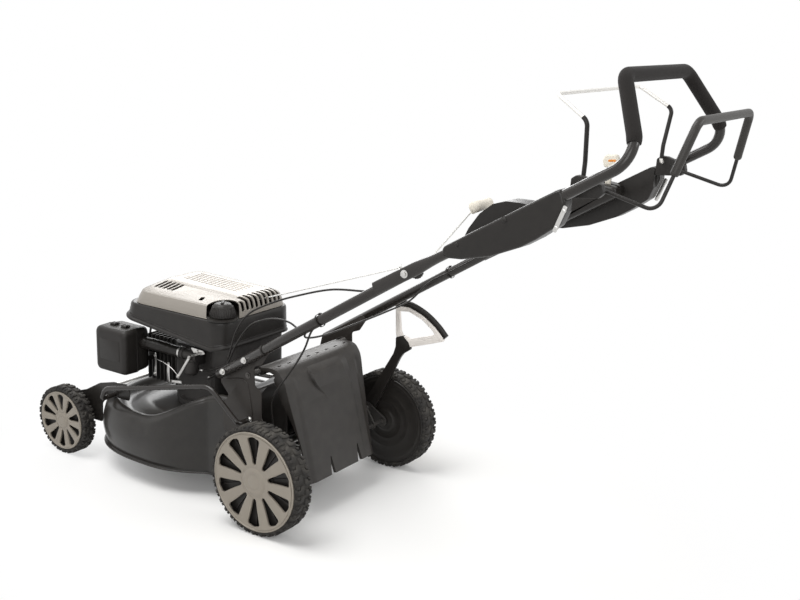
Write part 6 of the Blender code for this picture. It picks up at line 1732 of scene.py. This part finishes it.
class MOWER_OT_controls(bpy.types.Operator):
    """Makes the side covers, both bails, the speed lever, the starter grip and the height lever"""
    bl_idname = "mower.controls"
    bl_label = "Controls"

    def execute(self, context):
        sizes = context.scene.mower_controls
        for label, side in SIDES:
            wing = piece(f"moulded_side_cover_{label}", mirrored(side_cover_shape(sizes.edge), side),
                         "satin plastic", (f"side_cover_{label}",), "upper_handle", smooth=42)
            pocket = block((0.202, -0.815, 0.887), (0.229, -0.7487, 0.977), 0.003, 2)
            carved(wing, mirrored(pocket, side))
            hump = piece(f"control_housing_{label}", mirrored(hump_shape(), side), "satin plastic",
                         body="upper_handle", smooth=42)
            if side > 0:
                y, z = LEVER_PIVOT
                slot = slab(softened([(y - 0.03, z - 0.012), (y + 0.03, z - 0.012), (y + 0.03, z + 0.08),
                                      (y - 0.03, z + 0.08)], 0.006), 0.1785, 0.1895)
                carved(hump, slot)
        strap = slab(
            softened([(-0.756, 0.9055), (-0.764, 0.9025), (-0.7425, 0.8485), (-0.7345, 0.8515)], 0.003),
            0.2612, 0.2628, rounding=0.0004)
        screws = [bolt((0.2615, *place), OUT, 0.0036, 0.0022, "round")
                  for place in ((-0.7566, 0.894), (-0.7425, 0.859))]
        caps = [bolt((0.2615, -0.628, 0.86), OUT, 0.0058, 0.0034, "round"),
                bolt((0.2615, -0.52, 0.795), OUT, 0.0046, 0.0026, "round")]
        twins("side_cover_caps", joined(*caps), "black plastic", body="upper_handle")
        twins("side_cover_fixings", joined(strap, *screws), "plated steel", body="upper_handle")
        outline = [(-0.749, 0.915), (-0.751, 0.953), (-0.761, 0.96), (-0.775, 0.959), (-0.816, 0.946),
                   (-0.82, 0.93), (-0.81, 0.92)]
        mount = slab(softened(outline, 0.005), 0.2128, 0.2287, rounding=0.0012, segments=3)
        studs = [rod((0.2118, *place), (0.2128, *place), 0.0068, 24, 0.0003)
                 for place in (STOP_PIVOT, DRIVE_PIVOT)]
        twins("bail_bearing", joined(mount, *studs), "black plastic", "bail_mount", body="upper_handle")

        corners = [(0.225, *STOP_PIVOT), (0.2035, *STOP_PIVOT), (0.2035, -0.767, 0.985),
                   (0.2215, -0.774, 1.065), (0.2065, -0.699, 1.111), (0, -0.699, 1.111)]
        half = bent(corners, (0.009, 0.03, 0.018, 0.016), 7)
        piece("stop_bail_wire", tube(both_sides(half[:-1]), sizes.bail_radius, 16), "bright wire",
              ("brake_bail",), "stop_bail")
        leg = [p for p in half if 0.955 < p.z < 1.1 and p.x > 0.2]
        twins("stop_bail_leg_sleeve", tube(leg, sizes.bail_radius + 0.0007, 16), "cable sheath",
              body="stop_bail")
        half = drive_bail_path()
        piece("drive_bail_wire", tube(both_sides(half[:-1]), sizes.bail_radius, 16), "cable sheath",
              ("drive_bail",), "traction_bail", slot="black_plastic")
        low = Vector((0.2075, -0.922, 0.905))
        leg = Vector((0.155, -0.9685, 1.075)) - low
        start = low + leg * 0.4
        over = [p for p in half[:-1] if p.z > start.z]
        route = both_sides([start, start + leg * 0.012, start + leg * 0.024, *over])
        radius = sizes.sleeve_radius
        skin = [radius - 0.0022,
                radius - 0.0005] + [radius] * (len(route) - 4) + [radius - 0.0005, radius - 0.0022]
        piece("drive_bail_sleeve", tube(route, skin, 28), "grey sleeve", body="traction_bail", smooth=60)

        y, z = LEVER_PIVOT
        arm = slab(bar_outline((y, z), (y - 0.006, z + 0.06), 0.0065, 10), LEVER_X - 0.0032, LEVER_X + 0.0032,
                   rounding=0.0009)
        piece("speed_lever_arm", arm, "ivory plastic", ("speed_lever",), "speed_lever")
        knob = slab(softened(
            [(y - 0.022, z + 0.06), (y + 0.008, z + 0.056), (y + 0.012, z + 0.074), (y + 0.006, z + 0.086),
             (y - 0.02, z + 0.088), (y - 0.026, z + 0.078)], 0.008, 6), LEVER_X - 0.01, LEVER_X + 0.01,
            rounding=0.0042, segments=5)
        piece("speed_knob", knob, "ivory plastic", body="speed_lever")
        mark = slab(softened(
            [(y - 0.0215, z + 0.0725), (y - 0.003, z + 0.0705), (y - 0.003, z + 0.0755),
             (y - 0.0215, z + 0.0775)], 0.002), LEVER_X - 0.01035, LEVER_X - 0.0095, rounding=0.0002,
            segments=1)
        piece("speed_knob_mark", mark, "knob marker", body="speed_lever")

        handle = spindle(
            [(-0.205, 0), (-0.2048, 0.006), (-0.2035, 0.0098), (-0.2005, 0.0124), (-0.1965, 0.0134),
             (-0.19, 0.0134), (-0.18, 0.0124), (-0.16, 0.0124), (-0.15, 0.0134), (-0.1435, 0.0134),
             (-0.1395, 0.0124), (-0.1365, 0.0098), (-0.1352, 0.006), (-0.135, 0)], 40,
            centre=(0, -0.521, 0.8665))
        stem = tube([(-0.17, -0.521, 0.8665), (-0.17, -0.508, 0.856), (-0.17, -0.5, 0.8495),
                     (-0.17, -0.499, 0.849)], [0.01, 0.0068, 0.006, 0.0048], 24)
        piece("starter_handle", joined(handle, stem), "ivory plastic", ("starter_grip",), "starter_grip",
              smooth=60)
        self.height_lever()
        return {"FINISHED"}

    def height_lever(self):
        low = 0.24
        high = 0.2498
        arm = [(-0.08, 0.384), (-0.086, 0.366), (-0.062, 0.349), (-0.052, 0.335), (0.034, 0.16),
               (0.046, 0.152), (0.062, 0.153), (0.07, 0.166), (0.066, 0.182), (-0.03, 0.344), (-0.037, 0.366),
               (-0.037, 0.392), (-0.06, 0.401)]
        bore = [round_outline(*REAR_PIVOT, 0.0064, 24)]
        lower = slab(softened(arm, 0.006), low, high - 0.0006, holes=bore, rounding=0.0006)
        rib = tube([(high - 0.0004, -0.036, 0.336), (high - 0.0004, -0.0135, 0.291)], 0.0022, 10)
        piece("height_lever_arm", joined(lower, rib), "satin plastic", ("height_lever",), "rear_axle_frame")
        arc = curved_route([(0, -0.029, 0.482), (0, -0.036, 0.4885), (0, -0.078, 0.4905), (0, -0.128, 0.4735),
                            (0, -0.168, 0.447), (0, -0.196, 0.42)], 40)
        grip = tube([Vector((0.2449, p.y, p.z)) for p in arc], [(0.0056, 0.0092)] * 40, 20)
        piece("height_lever_grip", grip, "satin plastic", body="rear_axle_frame")
        ring = [(-0.033, 0.48), (-0.078, 0.483), (-0.124, 0.467), (-0.162, 0.442), (-0.188, 0.418),
                (-0.19, 0.408), (-0.09, 0.374), (-0.06, 0.372), (-0.04, 0.384), (-0.036, 0.405)]
        inside = [(-0.045, 0.468), (-0.078, 0.471), (-0.12, 0.456), (-0.154, 0.432), (-0.162, 0.421),
                  (-0.08, 0.394), (-0.058, 0.399), (-0.051, 0.412)]
        loop = slab(softened(ring, 0.008), low + 0.001, high - 0.0008, holes=[softened(inside, 0.006)],
                    rounding=0.001)
        hub = spindle(
            [(low + 0.0004, 0), (low + 0.0004, 0.02), (low + 0.0009, 0.021), (high + 0.003, 0.021),
             (high + 0.004, 0.02), (high + 0.004, 0.015), (high + 0.0034, 0.014), (high + 0.0034, 0)], 48,
            centre=(0, -0.061, 0.378))
        piece("height_lever_loop", joined(loop, hub), "pale lever plastic", body="rear_axle_frame")


# Cables and ropes

class MOWER_OT_cables(bpy.types.Operator):
    """Makes the control cables, their ferrules and the starter rope"""
    bl_idname = "mower.cables"
    bl_label = "Cables"

    def execute(self, context):
        near = 0.2027
        routes = {"stop_cable": [
            (-near, -0.312, tube_z(-0.312)), (-near, -0.275, tube_z(-0.275)), (-0.2, -0.235, 0.638),
            (-0.19, -0.14, 0.624), (-0.175, -0.031, 0.589), (-0.17, 0.056, 0.555), (-0.172, 0.13, 0.515),
            (-0.174, 0.172, 0.462), (-0.176, 0.194, 0.397), (-0.15, 0.235, 0.352), (-0.118, 0.33, 0.31),
            (-0.112, 0.362, 0.304)],
            "throttle_cable": [(-near, -0.06, tube_z(-0.06) + 0.001), (-0.194, -0.02, 0.523),
                               (-0.184, 0.03, 0.521), (-0.178, 0.079, 0.508), (-0.176, 0.128, 0.482),
                               (-0.182, 0.165, 0.43), (-0.178, 0.194, 0.38), (-0.155, 0.24, 0.338),
                               (-0.11, 0.33, 0.286), (-0.086, 0.352, 0.28)],
            "drive_cable": [(-near, -0.13, tube_z(-0.13) - 0.006), (-0.2027, -0.096, 0.52),
                            (-0.2005, -0.072, 0.47), (-0.199, -0.044, 0.425), (-0.197, -0.008, 0.377),
                            (-0.192, 0.026, 0.335), (-0.18, 0.05, 0.3), (-0.165, 0.06, 0.255),
                            (-0.155, 0.062, 0.215), (-0.132, 0.061, 0.193), (-0.095, 0.058, 0.187),
                            (-0.0365, 0.054, 0.187)],
            "speed_cable": [(-near, -0.075, tube_z(-0.075) - 0.004), (-0.18, -0.06, 0.49),
                            (-0.1, -0.055, 0.478), (0.03, -0.054, 0.479), (0.13, -0.074, 0.492),
                            (0.185, -0.115, 0.52), (0.2015, -0.16, tube_z(-0.16)),
                            (0.2015, -0.225, tube_z(-0.225)), (0.2015, -0.33, tube_z(-0.33))]}
        for name, route in routes.items():
            path = curved_route(route, 110)
            piece(f"sheathed_{name}", tube(path, 0.0025, 12), "cable sheath", (name,))
            ends = []
            for tip, inner in ((path[0], path[3]), (path[-1], path[-4])):
                way = (inner - tip).normalized()
                ends.append(rod(tip - way * 0.001, tip + way * 0.014, 0.0034, 16, 0.0006))
            piece(f"ferrules_{name}", joined(*ends), "plated steel")
        low = [(0.0595, 0.3, 0.478), (-0.1815, -0.33, 0.7045), (-0.1815, FOLD[0], FOLD[1])]
        piece("starter_rope_from_engine", tube(low, 0.002, 12), "rope fibre", ("starter_rope_lower",))
        high = [(-0.177, *FOLD), (-0.173, -0.4975, 0.848)]
        piece("starter_rope_to_grip", tube(high, 0.002, 12), "rope fibre", ("starter_rope_upper",),
              "upper_handle")
        return {"FINISHED"}


# Panel and registration

class MOWER_PT_sidebar(bpy.types.Panel):
    """Lists the steps that build the machine and the sizes that they use"""
    bl_idname = "MOWER_PT_sidebar"
    bl_label = "Lawn Mower"
    bl_space_type = "VIEW_3D"
    bl_region_type = "UI"
    bl_category = "Mower"

    def draw(self, context):
        for step, settings in STEPS:
            box = self.layout.box()
            box.operator(step.bl_idname)
            if settings:
                group = getattr(context.scene, settings)
                for name in group.__annotations__:
                    box.prop(group, name)


STEPS = (
    (MOWER_OT_finishes, "mower_colours"), (MOWER_OT_wheels, "mower_wheels"), (MOWER_OT_deck, "mower_deck"),
    (MOWER_OT_flap, "mower_flap"), (MOWER_OT_engine, "mower_engine"), (MOWER_OT_running_gear, ""),
    (MOWER_OT_handle, "mower_handle"), (MOWER_OT_controls, "mower_controls"), (MOWER_OT_cables, ""),
    (MOWER_OT_stage, "mower_stage"))

SETTINGS = {
    "mower_colours": MowerColours, "mower_wheels": MowerWheels, "mower_deck": MowerDeck,
    "mower_flap": MowerFlap, "mower_engine": MowerEngine, "mower_handle": MowerHandle,
    "mower_controls": MowerControls, "mower_stage": MowerStage}

CLASSES = (*SETTINGS.values(), *(step for step, _ in STEPS), MOWER_PT_sidebar)


def register():
    for item in CLASSES:
        bpy.utils.register_class(item)
    for name, group in SETTINGS.items():
        setattr(bpy.types.Scene, name, PointerProperty(type=group))


def unregister():
    for name in SETTINGS:
        delattr(bpy.types.Scene, name)
    for item in reversed(CLASSES):
        bpy.utils.unregister_class(item)


def main():
    register()
    bpy.ops.mower.finishes()
    bpy.ops.mower.wheels()
    bpy.ops.mower.deck()
    bpy.ops.mower.flap()
    bpy.ops.mower.engine()
    bpy.ops.mower.running_gear()
    bpy.ops.mower.handle()
    bpy.ops.mower.controls()
    bpy.ops.mower.cables()
    bpy.ops.mower.stage()


if __name__ == "__main__":
    main()
